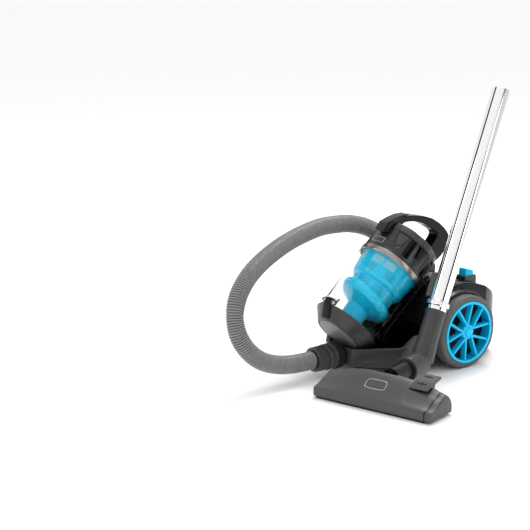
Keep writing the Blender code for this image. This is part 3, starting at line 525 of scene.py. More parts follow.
# ---------------------------------------------------------------- camera and light
CAMERA_AT = Vector((2.2418, -2.1558, 0.9635))  # in the ROOT frame
CAMERA_LENS = 101.9  # mm
CAMERA_AZIMUTH = math.radians(52.3)
CAMERA_ELEVATION = math.radians(14.0)
FLOOR_SIZE = 30
LIGHT_TARGET = Vector((0, -0.1, 0.15))  # in the ROOT frame


def studio():
    """The camera, a white floor, soft light, and dark cards that only chrome and gloss can see."""
    data = bpy.data.cameras.new("camera")
    data.lens = CAMERA_LENS
    data.sensor_width = 36
    data.clip_end = 50
    camera = bpy.data.objects.new("camera", data)
    bpy.context.scene.collection.objects.link(camera)
    camera.location = ROOT @ CAMERA_AT
    level = math.cos(CAMERA_ELEVATION)
    back = Vector((
        math.sin(CAMERA_AZIMUTH) * level, -math.cos(CAMERA_AZIMUTH) * level, math.sin(CAMERA_ELEVATION),
    ))
    camera.rotation_mode = "QUATERNION"
    camera.rotation_quaternion = (-back).to_track_quat("-Z", "Y")
    bpy.context.scene.camera = camera

    bm = bmesh.new()
    bmesh.ops.create_grid(bm, x_segments=1, y_segments=1, size=FLOOR_SIZE)
    floor = bpy.data.objects.new("floor", mesh_of(bm, "floor"))
    bpy.context.scene.collection.objects.link(floor)
    floor.data.materials.append(
        finish("floor_white", (0.90, 0.90, 0.90), 0.6, mottle=0.0, bump=0.0, Specular_IOR_Level=0.1)
    )

    for name, place, size, power in (
        ("key", (-0.5, 0.9, 2.2), (1.0, 0.8), 34),
        ("left_fill", (-1.2, -2.2, 1.4), (0.5, 1.8), 7),
        ("right_strip", (2.4, 0.6, 1.0), (0.4, 1.6), 6),
    ):
        data = bpy.data.lights.new(name, "AREA")
        data.shape = "RECTANGLE"
        data.size, data.size_y = size
        data.energy = power
        light = bpy.data.objects.new(name, data)
        bpy.context.scene.collection.objects.link(light)
        light.location = ROOT @ Vector(place)
        aim = ROOT @ LIGHT_TARGET - light.location
        light.rotation_mode = "QUATERNION"
        light.rotation_quaternion = aim.to_track_quat("-Z", "Y")

    # White to the eye, brighter overhead for soft light, and with narrow dark stripes along the
    # tube's direction that only mirrors and gloss pick up.
    world = bpy.data.worlds.new("studio")
    world.use_nodes = True
    bpy.context.scene.world = world
    tree = world.node_tree
    link = tree.links.new
    direction = new_node(tree, "ShaderNodeTexCoord").outputs["Generated"]
    along = joint_axis("tube_extend")
    front = (back - along * back.dot(along)).normalized()
    side = front.cross(along)
    if side.dot(Vector((math.cos(CAMERA_AZIMUTH), math.sin(CAMERA_AZIMUTH), 0))) < 0:
        side = -side

    def share(vector):
        made = new_node(tree, "ShaderNodeVectorMath", operation="DOT_PRODUCT")
        made.inputs[1].default_value = vector
        link(direction, made.inputs[0])
        return made.outputs["Value"]

    around = new_node(tree, "ShaderNodeMath", operation="ARCTAN2")
    link(share(side), around.inputs[0])
    link(share(front), around.inputs[1])
    turn = new_node(tree, "ShaderNodeMapRange", From_Min=-math.pi, From_Max=math.pi)
    link(around.outputs["Value"], turn.inputs["Value"])
    stripes = new_node(tree, "ShaderNodeValToRGB")
    ramp = stripes.color_ramp
    ramp.elements.remove(ramp.elements[1])
    levels = [
        (-180, 0.9), (-150, 0.55), (-141, 0.95), (-106, 0.95), (-103, 0.004), (-84, 0.004), (-81, 0.97),
        (-8, 0.97), (24, 0.85), (27, 0.004), (42, 0.004), (46, 0.68), (100, 0.70), (106, 0.97),
        (124, 0.97), (128, 0.50), (140, 0.60), (150, 0.9),
    ]
    for degrees, white in levels:
        at = (degrees + 180) / 360
        element = ramp.elements[0] if degrees == -180 else ramp.elements.new(at)
        element.position = at
        element.color = (white, white, white, 1)
    link(turn.outputs["Result"], stripes.inputs["Fac"])

    height = new_node(tree, "ShaderNodeSeparateXYZ")
    link(direction, height.inputs["Vector"])
    dome = new_node(tree, "ShaderNodeMapRange", From_Min=0.0, From_Max=1.0)
    dome.inputs["To Min"].default_value = 0.30
    dome.inputs["To Max"].default_value = 1.50
    link(height.outputs["Z"], dome.inputs["Value"])

    seen = new_node(tree, "ShaderNodeLightPath")
    light_or_stripes = new_node(tree, "ShaderNodeMix", data_type="RGBA")
    link(seen.outputs["Is Glossy Ray"], light_or_stripes.inputs["Factor"])
    link(dome.outputs["Result"], light_or_stripes.inputs["A"])
    link(stripes.outputs["Color"], light_or_stripes.inputs["B"])
    final = new_node(tree, "ShaderNodeMix", data_type="RGBA")
    final.inputs["B"].default_value = (1, 1, 1, 1)
    link(seen.outputs["Is Camera Ray"], final.inputs["Factor"])
    link(light_or_stripes.outputs["Result"], final.inputs["A"])
    link(final.outputs["Result"], tree.nodes["Background"].inputs["Color"])
    bpy.context.scene.view_settings.view_transform = "Standard"


studio()
hose()


# ---------------------------------------------------------------- wheels
def wheel(side):
    name = "left" if side > 0 else "right"
    body = f"wheel_{name}"
    at = ROOT @ moved(0, 0, WHEEL_RADIUS) @ turned_by(side * math.pi / 2, "Y")
    rim_radius = TYRE_BORE - 0.0003
    inside = rim_radius - 0.003
    rim = lathe(
        "rim",
        [(rim_radius, 0.114), (rim_radius, RIM_FACE), (0.0600, RIM_FACE), (0.0592, 0.1436), (inside, 0.1376),
         (inside, 0.114)],
        128, 0.0007,
    )
    hub = lathe(
        "hub",
        [(0.0053, 0.114), (0.0160, 0.114), (0.0160, 0.1392), (0.0142, 0.1412), (0.0104, 0.1412),
         (0.0094, 0.1436), (0.0060, 0.1445), (0, 0.1446), (0, 0.137), (0.0053, 0.137)],
        64, 0.0008,
    )
    spokes = []
    for pair in range(SPOKE_PAIRS):
        for lean in (-1, 1):
            root_angle = math.radians(46) + 2 * math.pi * pair / SPOKE_PAIRS
            tip_angle = root_angle + lean * math.radians(20)
            root = 0.0130 * Vector((math.cos(root_angle), math.sin(root_angle)))
            tip = 0.0628 * Vector((math.cos(tip_angle), math.sin(tip_angle)))
            along = tip - root
            outline = [
                (-0.0028, 0.1300), (0.0028, 0.1300), (0.0024, 0.1412), (0.0015, 0.1420),
                (-0.0015, 0.1420), (-0.0024, 0.1412),
            ]
            bar = prism("spoke", soften(outline, 0.0005), along.length / 2, along.length / 2)
            bar.transform(moved(root.x, root.y, 0.0001 * lean) @ turned_by(math.atan2(along.y, along.x), "Z"))
            spokes.append(bar)
    mesh = carved(f"rim_{name}", rim, adds=[hub, *spokes])
    piece(f"spoked_rim_{name}", mesh, CYAN, body, at, [f"wheel_rim_{name}"])
    tyre = [
        (TYRE_BORE, 0.112), (0.0720, 0.112), (0.0755, 0.1132), (WHEEL_RADIUS, 0.1160), (WHEEL_RADIUS, 0.1215),
        (0.0763, 0.1220), (0.0763, 0.1230), (WHEEL_RADIUS, 0.1235), (WHEEL_RADIUS, 0.1325), (0.0763, 0.1330),
        (0.0763, 0.1340), (WHEEL_RADIUS, 0.1345), (0.0768, 0.1378), (0.0748, 0.1408), (0.0716, 0.1424),
        (0.0690, 0.1430), (0.0672, 0.1430), (0.0668, 0.1422), (TYRE_BORE, 0.1422),
    ]
    piece(f"tyre_rubber_{name}", lathe("tyre", tyre, 144, 0.0010), RUBBER, body, at, [f"tyre_{name}"])
    keep(f"wheel_plate_{name}", MATT, 0.0003)
    keep(f"axle_{name}", STEEL, 0.0003)


# ---------------------------------------------------------------- canister
CROWN = [
    (0.147, 0.090), (0.139, 0.106), (0.123, 0.126), (0.103, 0.143), (0.080, 0.157), (0.052, 0.167),
    (0.018, 0.1725), (-0.012, 0.1715), (-0.035, 0.163),
]


def crown_at(y):
    for (a, high), (b, low) in zip(CROWN[1:], CROWN):
        if a <= y <= b:
            return high + (low - high) * (y - a) / (b - a)
    raise ValueError(y)


def canister():
    """The tray, the housing and what is on them."""
    for node, look, edge in (
        ("chassis_tray", GREY, 0.0012), ("deck_liner", GLOSS, 0.0008), ("bin_cradle", GLOSS, 0.0010),
        ("rear_housing", HEAD_GREY, 0.0010), ("top_cover", GLOSS, 0.0010), ("exhaust_cover", GLOSS, 0.0010),
        ("exhaust_filter", FOAM, 0.0006), ("motor", STEEL, 0.0008), ("fan", STEEL, 0.0006),
        ("cord_reel", MATT, 0.0006), ("cord_outlet", MATT, 0.0004), ("caster_fork", MATT, 0.0004),
        ("caster_wheel", RUBBER, 0.0005), ("power_pedal", CYAN, 0.0014), ("rewind_pedal", CYAN, 0.0014),
    ):
        keep(node, look, edge)

    # A raised lip along both sides of the tray's rim, from the nose to the wheel.
    for side, name in ((1, "left"), (-1, "right")):
        run = [
            (0.0445, -0.2275, 0.0560), (0.0800, -0.1935, 0.0602), (0.1115, -0.1630, 0.0640),
            (0.1142, -0.1560, 0.0665), (0.1146, -0.1480, 0.0700), (0.1146, -0.1330, 0.0806),
            (0.1146, -0.1260, 0.0835), (0.1146, -0.0930, 0.0835),
        ]
        line = even_line(smooth_line([(side * x, y, z) for x, y, z in run], 8), 0.003)
        piece(f"tray_lip_{name}", swept("lip", line, 0.0022, 10, squash=0.62), GREY, "canister")
        low = [(side * x, y, 0.0285) for x, y, z in run[:4]] + [(side * 0.1143, -0.0930, 0.0285)]
        line = even_line(smooth_line(low, 8), 0.004)
        piece(f"tray_bead_{name}", swept("bead", line, 0.0013, 8, squash=0.6), GREY, "canister")

        # The gloss panel between the cover and the wheel arch.
        arch = 0.0858
        lower = [(arch * math.sin(a), WHEEL_RADIUS + arch * math.cos(a))
                 for a in (math.radians(d) for d in range(6, 75, 4))]
        upper = [(y, crown_at(y) - 0.0068) for y in (0.084, 0.068, 0.052, 0.034, 0.018, 0.004)]
        lower = [point for point in lower if point[0] < 0.0835]
        panel = prism("panel", lower + upper, 0.0006, side * 0.1065)
        piece(f"side_panel_{name}", panel, GLOSS, "canister", edge=0.0003)

        # The grey collar round each pedal.
        outer, inner = [], []
        for x, y in ((-1, 0), (1, 0), (1, 1), (-1, 1)):
            outer.append((side * 0.062 + x * 0.0139, 0.0511 + y * 0.0338))
            inner.append((side * 0.062 + x * 0.0112, 0.0551 + y * 0.0258))
        bm = bmesh.new()
        rings = []
        for outline, z in ((outer, 0.150), (outer, 0.1738), (inner, 0.1738), (inner, 0.150)):
            rings.append([bm.verts.new((x, y, z)) for x, y in outline])
        for first, second in zip(rings, rings[1:] + rings[:1]):
            for i in range(4):
                bm.faces.new((first[i], first[i - 1], second[i - 1], second[i]))
        piece(f"pedal_collar_{name}", mesh_of(bm, "collar"), GREY, "canister",
              edge=0.0008)

    # Slats on the exhaust cover.
    slats = []
    for i in range(6):
        y = 0.097 + 0.0068 * i
        slope = math.atan2(crown_at(y + 0.002) - crown_at(y - 0.002), 0.004)
        bar = block("slat", (-0.042, -0.0013, -0.0006), (0.042, 0.0013, 0.0009))
        slats.append(shifted(bar, moved(0, y, crown_at(y)) @ turned_by(slope, "X")))
    piece("exhaust_slats", joined("slats", slats), MATT, "hatch", edge=0.0005)


# ---------------------------------------------------------------- bin
def collar_radius(height):
    """The cyclone's outer surface, from its flange down to its skirt."""
    line = [(-0.062, 0.0500), (-0.058, 0.0560), (-0.050, 0.0595), (-0.014, 0.0625), (-0.004, 0.0640)]
    for (a, low), (b, high) in zip(line, line[1:]):
        if height <= b:
            return low + (high - low) * (height - a) / (b - a)
    return line[-1][1]


def screen_radius(height):
    """The cyclone's screen, which narrows a little on its way down."""
    return 0.0500 + (height + 0.062) / 29


def dots(name, surface, angles, heights, pitch, size):
    """A field of small round pips on a turned surface."""
    bm = bmesh.new()
    rows = round((heights[1] - heights[0]) / pitch)
    for j in range(rows + 1):
        height = heights[0] + (heights[1] - heights[0]) * j / rows
        radius = surface(height)
        step = math.degrees(pitch / radius)
        columns = round((angles[1] - angles[0]) / step)
        for i in range(columns + 1):
            angle = math.radians(angles[0] + (angles[1] - angles[0]) * i / columns)
            out = Vector((math.sin(angle), -math.cos(angle), 0))
            place = Matrix.Translation(out * (radius - 0.0002) + Vector((0, 0, height)))
            turn = out.to_track_quat("Z", "Y").to_matrix().to_4x4()
            bmesh.ops.create_cone(bm, cap_ends=True, segments=8, radius1=size, radius2=size, depth=0.0008,
                                  matrix=place @ turn)
    return mesh_of(bm, name)


def dust_bin():
    wall = [(BIN_RADIUS, -0.0040), (0.0678, -0.1660), (0.0656, -0.1660), (BIN_RADIUS - 0.0022, -0.0040)]
    piece("clear_bin", lathe("clear", wall, 144, 0.0004), CLEAR, "bin", BIN, ["bin_cylinder"])
    wedge = [
        (-0.0685, -0.1594), (-0.0790, -0.1594), (-0.0790, -0.1540), (-0.0705, -0.1415), (-0.0685, -0.1415),
    ]
    slot = block("slot", (-0.0112, -0.10, -0.17), (0.0112, -0.0712, -0.1465))
    catch = carved("catch", prism("catch", wedge, 0.0185), [slot])
    piece("clear_catch", catch, CLEAR_EDGE, "bin", BIN, edge=0.0007)
    ring = [(0.0735, 0.0), (0.0735, -0.0095), (0.0724, -0.0120), (0.0704, -0.0120), (0.0704, 0.0)]
    piece("metal_ring", lathe("ring", ring, 144, 0.0014), WARM, "bin", BIN, ["bin_ring"])
    cup = [
        (0, -0.1850), (0.0505, -0.1850), (0.0648, -0.1680), (0.0648, -0.1664), (0.0684, -0.1664),
        (0.0684, CUP_TOP), (0.0716, CUP_TOP), (0.0722, -0.1606), (0.0722, -0.1632), (0.0708, -0.1642),
        (0.0534, -0.1862), (0.0520, -0.1878), (0.0500, -0.1880), (0.0470, -0.1872), (0, -0.1872),
    ]
    piece("cup", lathe("cup", cup, 144, 0.0005), GREY, "bin", BIN, ["bottom_lid"])
    base = [(0, -0.1875), (0.0460, -0.1875), (0.0460, -0.1878), (0.0445, -0.1880), (0, -0.1880)]
    piece("cup_base", lathe("base", base, 96, 0.0002), PALE_GREY, "bin", BIN)
    keep("lid_latch", MATT, 0.0010)
    keep("lid_hinge_pin", STEEL, 0.0003)
    ribs = [block("rib", (-0.0080, -0.0790, z), (0.0080, -0.0762, z + 0.0012))
            for z in (-0.1512, -0.1546, -0.1580)]
    piece("latch_ribs", joined("ribs", ribs), MATT, "lid_latch", BIN, edge=0.0004)
    hook = lathe("hook", [(0, -0.0135), (0.0026, -0.0135), (0.0026, 0.0135), (0, 0.0135)], 32, 0.0005)
    hook.transform(moved(0, -0.0742, -0.1520) @ turned_by(math.pi / 2, "Y"))
    piece("latch_pin", hook, MATT, "lid_latch", BIN)

    shroud = [
        (0.0650, -0.0045), (0.0650, -0.0095), (0.0628, -0.0125), (0.0595, -0.0500), (0.0560, -0.0580),
        (0.0500, -0.0620), (0.0478, -0.0620), (0.0480, -0.0590), (0.0540, -0.0560), (0.0575, -0.0490),
        (0.0605, -0.0120), (0.0605, -0.0045),
    ]
    piece("cyclone_collar", lathe("shroud", shroud, 128, 0.0016), CYAN_CLEAR, "bin", BIN, ["cyclone_shroud"])
    screen = [(0.0502, -0.0600), (0.0492, -0.0890), (0.0472, -0.0890), (0.0482, -0.0600)]
    piece("cyclone_screen", lathe("screen", screen, 128, 0.0003), CYAN_CLEAR, "bin", BIN, ["mesh_screen"])
    skirt = [
        (0.0478, -0.0870), (0.0535, -0.0890), (0.0580, -0.0925), (0.0592, -0.0980), (0.0585, -0.1045),
        (0.0540, -0.1110), (0.0400, -0.1170), (0.0262, -0.1240), (0.0240, -0.1240), (0.0240, -0.0870),
    ]
    # The disc slopes, as one turn of a spiral does: its front edge stands higher than its rear one.
    slope = Matrix.Identity(4)
    slope[2][0], slope[2][1], slope[2][3] = -0.076, -0.091, 0.0070
    disc = shifted(lathe("skirt", skirt, 128, 0.0020), slope)
    piece("cyclone_disc", disc, CYAN_CLEAR, "bin", BIN, ["cyclone_skirt"])
    stem = [(0.0266, -0.1100), (0.0236, -0.1800), (0.0216, -0.1800), (0.0240, -0.1100)]
    piece("cyclone_tube", lathe("stem", stem, 96, 0.0004), CYAN, "bin", BIN, ["cyclone_stem"])
    keep("vortex_finder", MATT, 0.0004)
    for offset in (21, 49):
        for label, middle in ((f"{offset}", offset), (f"right_{offset}", -offset)):
            window = plate("window", collar_radius, (middle - 12, middle + 12), (-0.0300, -0.0145), 0.0006)
            piece(f"collar_window_{label}", window, CYAN_LIGHT, "bin", BIN)
    # The perforations are raised pips coloured with painted shade, in place of real holes.
    fields = [
        dots("dots", collar_radius, (middle - 11, middle + 11), (-0.0490, -0.0345), 0.0021, 0.00055)
        for middle in (15, 62, 110, 160, 210, 258, 305)
    ]
    piece("perforations", joined("perforations", fields), HOLE_SHADE_CYAN, "bin", BIN)
    fields = [
        dots("dots", screen_radius, (middle - 17, middle + 17), (-0.0860, -0.0650), 0.0022, 0.0006)
        for middle in range(15, 375, 45)
    ]
    piece("screen_perforations", joined("screen_perforations", fields), HOLE_SHADE_CYAN, "bin", BIN)


# ---------------------------------------------------------------- head
def shell_radius(height):
    """The head shell's outer surface, a little narrower at the seam than at its foot."""
    return 0.0712 - 0.0014 * (height - SHELL_LOW) / (HEAD_SEAM - SHELL_LOW)


def nearest(angle, middles):
    """Degrees from an angle to the nearest of the middles."""
    return min(abs((math.degrees(angle) - middle + 180) % 360 - 180) for middle in middles)


def scoop(angle, height):
    """How deep the head's scoops are there: tapered, with round lower ends, and open at the seam."""
    if height < SCOOP_LOW:
        return 0.0
    rise = min(1.0, (height - SCOOP_LOW) / (HEAD_SEAM - SCOOP_LOW))
    wide = (7.5 + 5.5 * rise) * math.sqrt(min(1.0, (height - SCOOP_LOW) / 0.005))
    return smoothstep(0, 1, (wide - nearest(angle, SCOOPS)) / 2.2)


def head():
    """The head over the bin: scooped shell, stepped cap, handle, pad, button and a blank badge."""
    walls = [(shell_radius(z), z) for z in (0.0062 + (HEAD_SEAM - 0.0066) * i / 44 for i in range(45))]
    profile = [
        (0.0675, 0.0003), (0.0714, 0.0003), (0.0720, 0.0009), (0.0720, 0.0036), (0.0714, 0.0046), *walls,
        (0.0645, HEAD_SEAM - 0.0004), (0.0655, 0.0300), (0.0660, 0.0060),
    ]

    def hollow(angle, radius, height):
        outside = height > SHELL_LOW and abs(radius - shell_radius(height)) < 0.00001
        return -SCOOP_DEPTH * scoop(angle, height) if outside else 0

    shell = lathe("shell", profile, 288, 0, hollow)
    piece("scooped_shell", shell, HEAD_GREY, "head", BIN, ["head_shell"])
    for middle in PANELS:
        panel = plate(
            "panel", shell_radius, (middle - 7, middle + 7), (0.0085, 0.0505), 0.0004, 0.12, (14, 20), 0.08,
        )
        piece(f"head_panel_{round(middle) % 360}", panel, GLOSS, "head", BIN)
    for middle in SCOOPS:
        inlay = plate(
            "inlay", lambda z: shell_radius(z) - SCOOP_DEPTH, (middle - 8, middle + 8), (0.0245, 0.0508),
            0.0003, 0.4, (12, 14), 0.28,
        )
        look = GREY if abs(middle) == 36 else GLOSS
        piece(f"scoop_inlay_{middle % 360}", inlay, look, "head", BIN)

    def stepped(angle, radius, height):
        if radius < 0.045:
            return 0
        return 0.0006 * (1 - 2 * smoothstep(13.0, 14.5, nearest(angle, (*SCOOPS, 0, 180))))

    top = [
        (0, HEAD_TOP), (0.0400, HEAD_TOP), (0.0620, 0.0697), (0.0655, 0.0688), (0.0672, 0.0668),
        (0.0682, 0.0600), (0.0686, 0.0560), (0.0686, HEAD_SEAM + 0.0004), (0.0640, HEAD_SEAM + 0.0004),
        (0.0610, 0.0650), (0, 0.0665),
    ]
    piece("stepped_cap", lathe("cap", top, 288, 0.0010, stepped), GREY, "head", BIN, ["head_cap"])
    low, high = HEAD_SEAM - 0.0012, HEAD_SEAM + 0.0012
    seam = [(0.0676, low), (0.0676, high), (0.0650, high), (0.0650, low)]
    piece("seam_line", lathe("seam", seam, 96, 0), MATT, "head", BIN)

    arch = [
        (-0.0800, 0.0300), (-0.0855, 0.0470), (-0.0780, 0.0640), (-0.0670, 0.0830), (-0.0460, 0.1060),
        (-0.0220, 0.1250), (0.0000, 0.1380), (0.0250, 0.1460), (0.0460, 0.1490), (0.0640, 0.1480),
        (0.0760, 0.1380), (0.0830, 0.1210), (0.0830, 0.1000), (0.0780, 0.0800), (0.0640, 0.0560),
        (0.0450, 0.0650), (0.0440, 0.1120), (0.0415, 0.1240), (0.0350, 0.1282), (0.0220, 0.1255),
        (0.0070, 0.1205), (-0.0150, 0.1115), (-0.0350, 0.0985), (-0.0520, 0.0820), (-0.0600, 0.0560),
        (-0.0660, 0.0380),
    ]
    handle = piece("arch_handle", prism("arch", arch, 0.0140, corner=0.0060), GLOSS, "head", BIN,
                   ["carry_handle"])
    bevel(handle, 0.0052, 6)
    pad = [
        (-0.0852, 0.0290), (-0.0888, 0.0472), (-0.0808, 0.0654), (-0.0696, 0.0847), (-0.0560, 0.1000),
        (-0.0545, 0.0985), (-0.0674, 0.0824), (-0.0774, 0.0642), (-0.0849, 0.0470), (-0.0800, 0.0290),
    ]
    piece("textured_pad", prism("pad", pad, 0.0115, corner=0.0008), TEXTURED, "head", BIN, ["handle_pad"],
          edge=0.0008)
    strip = [
        (0.0605, 0.1500), (0.0665, 0.1489), (0.0784, 0.1384), (0.0845, 0.1250),
        (0.0806, 0.1240), (0.0752, 0.1356), (0.0642, 0.1450), (0.0605, 0.1460),
    ]
    piece("cyan_button", prism("button", strip, 0.0100, corner=0.0010), CYAN, "release_button", BIN,
          ["release_button"], edge=0.0012)
    keep("motor_filter", FOAM, 0.0008)

    raised = 0.0006
    badge = plate("badge", shell_radius, (-16, 14), (0.0080, 0.0235), raised)
    piece("badge_blank", badge, GREY, "head", BIN, ["badge_plate"])
    outline = [(-14, 0.0098), (12, 0.0098), (12, 0.0217), (-14, 0.0217)]
    line = []
    for (a, b), (c, d) in zip(outline, outline[1:] + outline[:1]):
        for k in range(10):
            angle, z = math.radians(a + (c - a) * k / 10), b + (d - b) * k / 10
            r = shell_radius(z) + raised
            line.append(Vector((r * math.sin(angle), -r * math.cos(angle), z)))
    piece("badge_border", swept("border", line, 0.0004, 6, closed=True), SILVER, "head", BIN)


# ---------------------------------------------------------------- floor tool
def tool_section(x, inward=0.0):
    """The floor tool's outline across its depth at x, with a soft front edge and a domed top."""
    share = min(1.0, abs(x) / (TOOL_LENGTH / 2))
    ridge = 0.062 - 0.018 * share**2
    brow = 0.026 - 0.004 * share**2
    top = [
        (0.0, brow - 0.0050), (0.0006, brow - 0.0022), (0.0026, brow), (0.010, brow + 0.13 * (ridge - brow)),
        (0.022, brow + 0.35 * (ridge - brow)), (0.035, brow + 0.63 * (ridge - brow)), (0.047, ridge - 0.0046),
        (0.056, ridge - 0.0008), (0.062, ridge - 0.0006), (0.070, ridge - 0.0050), (0.0775, ridge - 0.0140),
        (TOOL_DEPTH, ridge - 0.0220),
    ]
    line = [tuple(p)[:2] for p in smooth_line([(y, z, 0) for y, z in top], 3)]
    outline = []
    for y, z in line:
        # The panels beyond each crease stand a little lower than the middle.
        bow = 0.30 * (y - 0.045) ** 2 / 0.045
        for edge, sign in ((-0.082 - bow, -1), (0.058 + bow, 1), (0.106 + 0.6 * bow, 1)):
            z -= 0.0011 * smoothstep(0, 0.0022, sign * (x - edge)) * smoothstep(0.004, 0.016, y)
        outline.append((y, max(z, 0.006)))
    outline += [(TOOL_DEPTH, 0.0060), (TOOL_DEPTH - 0.0012, 0.0046), (0.0012, 0.0046), (0.0, 0.0060)]
    if not inward:
        return outline
    middle = Vector((0.042, 0.022))
    return [tuple(Vector(p) + (middle - Vector(p)).normalized() * inward) for p in outline]


def floor_tool():
    """The nozzle with its end cap, pedal, sole, bristles and rollers."""
    half = TOOL_LENGTH / 2
    cap_start = half - 0.014
    stations = [
        (-half, tool_section(-half, 0.0040)), (-half + 0.0008, tool_section(-half, 0.0022)),
        (-half + 0.0030, tool_section(-half + 0.003, 0.0006)),
    ]
    count = 84
    first = -half + 0.006
    for i in range(count + 1):
        x = first + (cap_start - 0.0008 - first) * i / count
        stations.append((x, tool_section(x)))
    stations.append((cap_start - 0.0001, tool_section(cap_start, 0.0007)))
    body = loft("nozzle", stations)
    cuts = [
        block("c", (-0.0240, 0.0490, 0.0230), (0.0240, 0.0900, 0.0572)),
        block("c", (-0.0236, 0.0575, 0.0500), (0.0236, 0.0900, 0.0800)),
        block("c", (0.0620, 0.0380, 0.0435), (0.1040, 0.0900, 0.0800)),
        block("c", (-0.126, 0.0050, 0), (0.112, 0.0760, 0.0150)),
        block("c", (0.0790, 0.0640, 0), (0.1010, 0.0900, 0.0220)),
        block("c", (-0.1010, 0.0640, 0), (-0.0790, 0.0900, 0.0220)),
    ]
    piece("nozzle_shell", carved("nozzle", body, cuts), TOOL_GREY, "floor_tool", TOOL, ["nozzle_body"])
    cap = [
        (cap_start + 0.0004, tool_section(cap_start, 0.0006)),
        (cap_start + 0.0012, tool_section(cap_start + 0.001)),
        (half - 0.0040, tool_section(half - 0.004)), (half - 0.0014, tool_section(half - 0.0014, 0.0008)),
        (half - 0.0003, tool_section(half, 0.0022)), (half, tool_section(half, 0.0040)),
    ]
    piece("cap_shell", loft("cap", cap), TOOL_GREY, "floor_tool", TOOL, ["end_cap"])
    ridge = tool_section(cap_start, -0.0002)
    seam = [(cap_start - 0.0022, ridge), (cap_start + 0.0010, ridge)]
    piece("cap_seam", loft("seam", seam), MATT, "floor_tool", TOOL)
    keep("sole_plate", MATT, 0.0004)
    keep("roller_left", RUBBER, 0.0004)
    keep("roller_right", RUBBER, 0.0004)

    tufts = []
    tuft = [(0, 0), (0.0017, 0), (0.0013, 0.0100), (0, 0.0100)]
    for i in range(46):
        x = -0.107 + 0.0045 * i
        tufts.append(shifted(lathe("tuft", tuft, 8, 0), moved(x, 0.0125, 0.0047)))
    piece("brush_tufts", joined("tufts", tufts), BRISTLE, "brush_strip", TOOL, ["brush_strip"])

    pedal = [
        (0.0400, 0.0482), (0.0560, 0.0542), (0.0590, 0.0458), (0.0650, 0.0458), (0.0680, 0.0560),
        (0.0900, 0.0612), (0.0915, 0.0645), (0.0880, 0.0663), (0.0600, 0.0618), (0.0400, 0.0513),
    ]
    piece("rocker_pedal", prism("rocker", pedal, 0.0195, 0.0830, 0.0010), TOOL_GREY, "brush_pedal",
          TOOL, ["brush_pedal"], edge=0.0010)
    grips = []
    for y, z, slope in ((0.0520, 0.0578, 0.50), (0.0770, 0.0648, 0.155)):
        bar = block("grip", (0.0725, -0.0008, -0.0004), (0.0935, 0.0008, 0.0006))
        post = block("grip", (0.0822, -0.0050, -0.0004), (0.0838, 0.0050, 0.00055))
        for part in (bar, post):
            grips.append(shifted(part, moved(0, y, z) @ turned_by(slope, "X")))
    piece("pedal_grips", joined("grips", grips), MATT, "brush_pedal", TOOL,
          edge=0.0003)

    # A blank oval badge outline on the nozzle's top.
    line = []
    power = 0.45
    for k in range(64):
        a = 2 * math.pi * k / 64
        x = -0.006 + 0.0225 * math.copysign(abs(math.cos(a)) ** power, math.cos(a))
        y = 0.030 + 0.0085 * math.copysign(abs(math.sin(a)) ** power, math.sin(a))
        outline = tool_section(x)
        top = outline[:-4]  # without its flat underside
        near = min(top, key=lambda p: abs(p[0] - y))
        after = top[min(len(top) - 1, top.index(near) + 1)]
        slope = (after[1] - near[1]) / max(0.0001, after[0] - near[0])
        line.append(Vector((x, y, near[1] + slope * (y - near[0]) + 0.0001)))
    piece("blank_badge", swept("badge", line, 0.0005, 6, closed=True), SILVER, "floor_tool", TOOL)


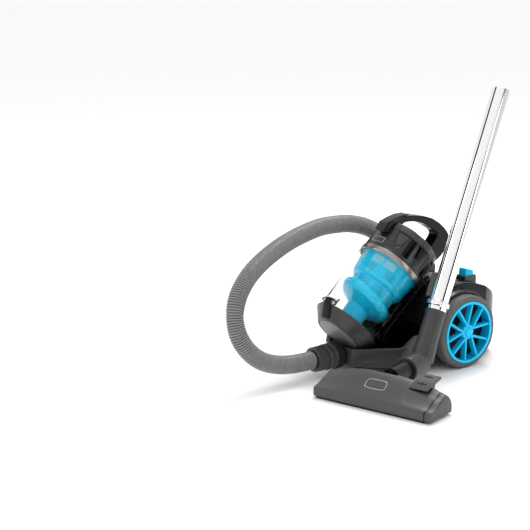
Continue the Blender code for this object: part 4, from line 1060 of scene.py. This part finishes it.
# ---------------------------------------------------------------- tube
def tube_set():
    """Knuckle, neck, inner and outer tube, lock collar and its slider."""
    x, y, z = KNUCKLE
    drum = lathe(
        "drum",
        [(0, -0.0230), (0.0152, -0.0230), (0.0160, -0.0222), (0.0160, 0.0222), (0.0152, 0.0230), (0, 0.0230)],
        64, 0.0004,
    )
    drum.transform(moved(*KNUCKLE) @ turned_by(math.pi / 2, "Y"))
    pipe = [(0, 0.0085), (0.0172, 0.0085), (0.0172, 0.0836), (0.0166, 0.0842), (0, 0.0842)]
    barrel = shifted(lathe("barrel", pipe, 64, 0), moved(x, y, 0.0500) @ REARWARD)
    way = [(x, y - 0.03, z), (x, y, z), (x, y + 0.02, 0.047), (x, y + 0.045, 0.050), (x, y + 0.1, 0.050)]
    bore = swept("bore", smooth_line(way, 4), 0.0115, 24)
    piece("knuckle_joint", carved("knuckle", drum, [bore], [barrel]), MATT, "knuckle", TOOL, ["knuckle"])

    neck_at = moved(0, 0.1300, 0.0500) @ REARWARD
    in_tool = TOOL.inverted() @ TUBE
    barrel = [
        (0, 0.0560), (0.0218, 0.0560), (0.0238, 0.0545), (0.0250, 0.0510), (0.0250, 0.0024),
        (0.0245, 0.0008), (0.0235, 0.0), (0, 0.0),
    ]
    stem = [
        (0, 0.0), (0.0240, 0.0), (0.0232, 0.0160), (0.0210, 0.0500), (0.0204, 0.0960), (0.0210, 0.0966),
        (0.0212, 0.1026), (0.0204, 0.1040), (0, 0.1040),
    ]
    openings = [
        shifted(lathe("opening", [(0, low), (radius, low), (radius, high), (0, high)], 64, 0), place)
        for radius, low, high, place in ((0.0176, -0.01, 0.052, neck_at), (0.0171, 0.0, 0.12, in_tool))
    ]
    elbow = carved(
        "neck", shifted(lathe("neck", barrel, 96, 0.0006), neck_at), openings,
        [shifted(lathe("stem", stem, 96, 0.0006), in_tool)],
    )
    piece("swivel_elbow", elbow, GREY, "neck", TOOL, ["swivel_neck"])

    inner = [(0.0168, 0.0400), (0.0168, 0.5600), (0.0154, 0.5600), (0.0154, 0.0400)]
    piece("inner_chrome", lathe("inner", inner, 96, 0.0003), CHROME, "neck", TUBE, ["inner_tube"])
    wall = 0.0012
    outer = [(TUBE_RADIUS, 0.1240), (TUBE_RADIUS, TUBE_TOP - 0.0006), (TUBE_RADIUS - 0.0006, TUBE_TOP),
             (TUBE_RADIUS - wall, TUBE_TOP - 0.0006), (TUBE_RADIUS - wall, 0.1240)]
    piece("outer_chrome", lathe("outer", outer, 128, 0.0002), CHROME, "outer_tube", TUBE, ["outer_tube"])
    collar = [
        (0.0173, 0.1046), (0.0192, 0.1046), (0.0196, 0.1056), (0.0196, 0.1120), (0.0222, 0.1128),
        (0.0238, 0.1150), (0.0240, 0.1162), (0.0232, 0.1170), (0.0232, 0.1184), (0.0240, 0.1192),
        (0.0240, 0.1208), (0.0222, 0.1236), (0.0173, 0.1236),
    ]
    piece("chrome_collar", lathe("collar", collar, 128, 0.0006), CHROME, "outer_tube", TUBE, ["lock_collar"])
    grip = [(-0.0110, 0.1300), (0.0110, 0.1300), (0.0110, 0.1800), (-0.0110, 0.1800)]
    slider = prism("slider", grip, 0.00675, -0.02075, corner=0.0015)
    seat = TUBE_RADIUS + 0.0003
    cutter = lathe("seat", [(0, 0.12), (seat, 0.12), (seat, 0.19), (0, 0.19)], 128, 0)
    ribs = [
        block("rib", (-0.0280, -0.0085, 0.1400 + 0.0046 * i), (-0.0260, 0.0085, 0.1414 + 0.0046 * i))
        for i in range(7)
    ]
    piece("ribbed_slider", carved("slider", slider, [cutter, *ribs]), GREY, "lock_slider", TUBE,
          ["lock_slider"], edge=0.0005)


for wheel_side in (1, -1):
    wheel(wheel_side)
canister()
dust_bin()
head()
floor_tool()
tube_set()
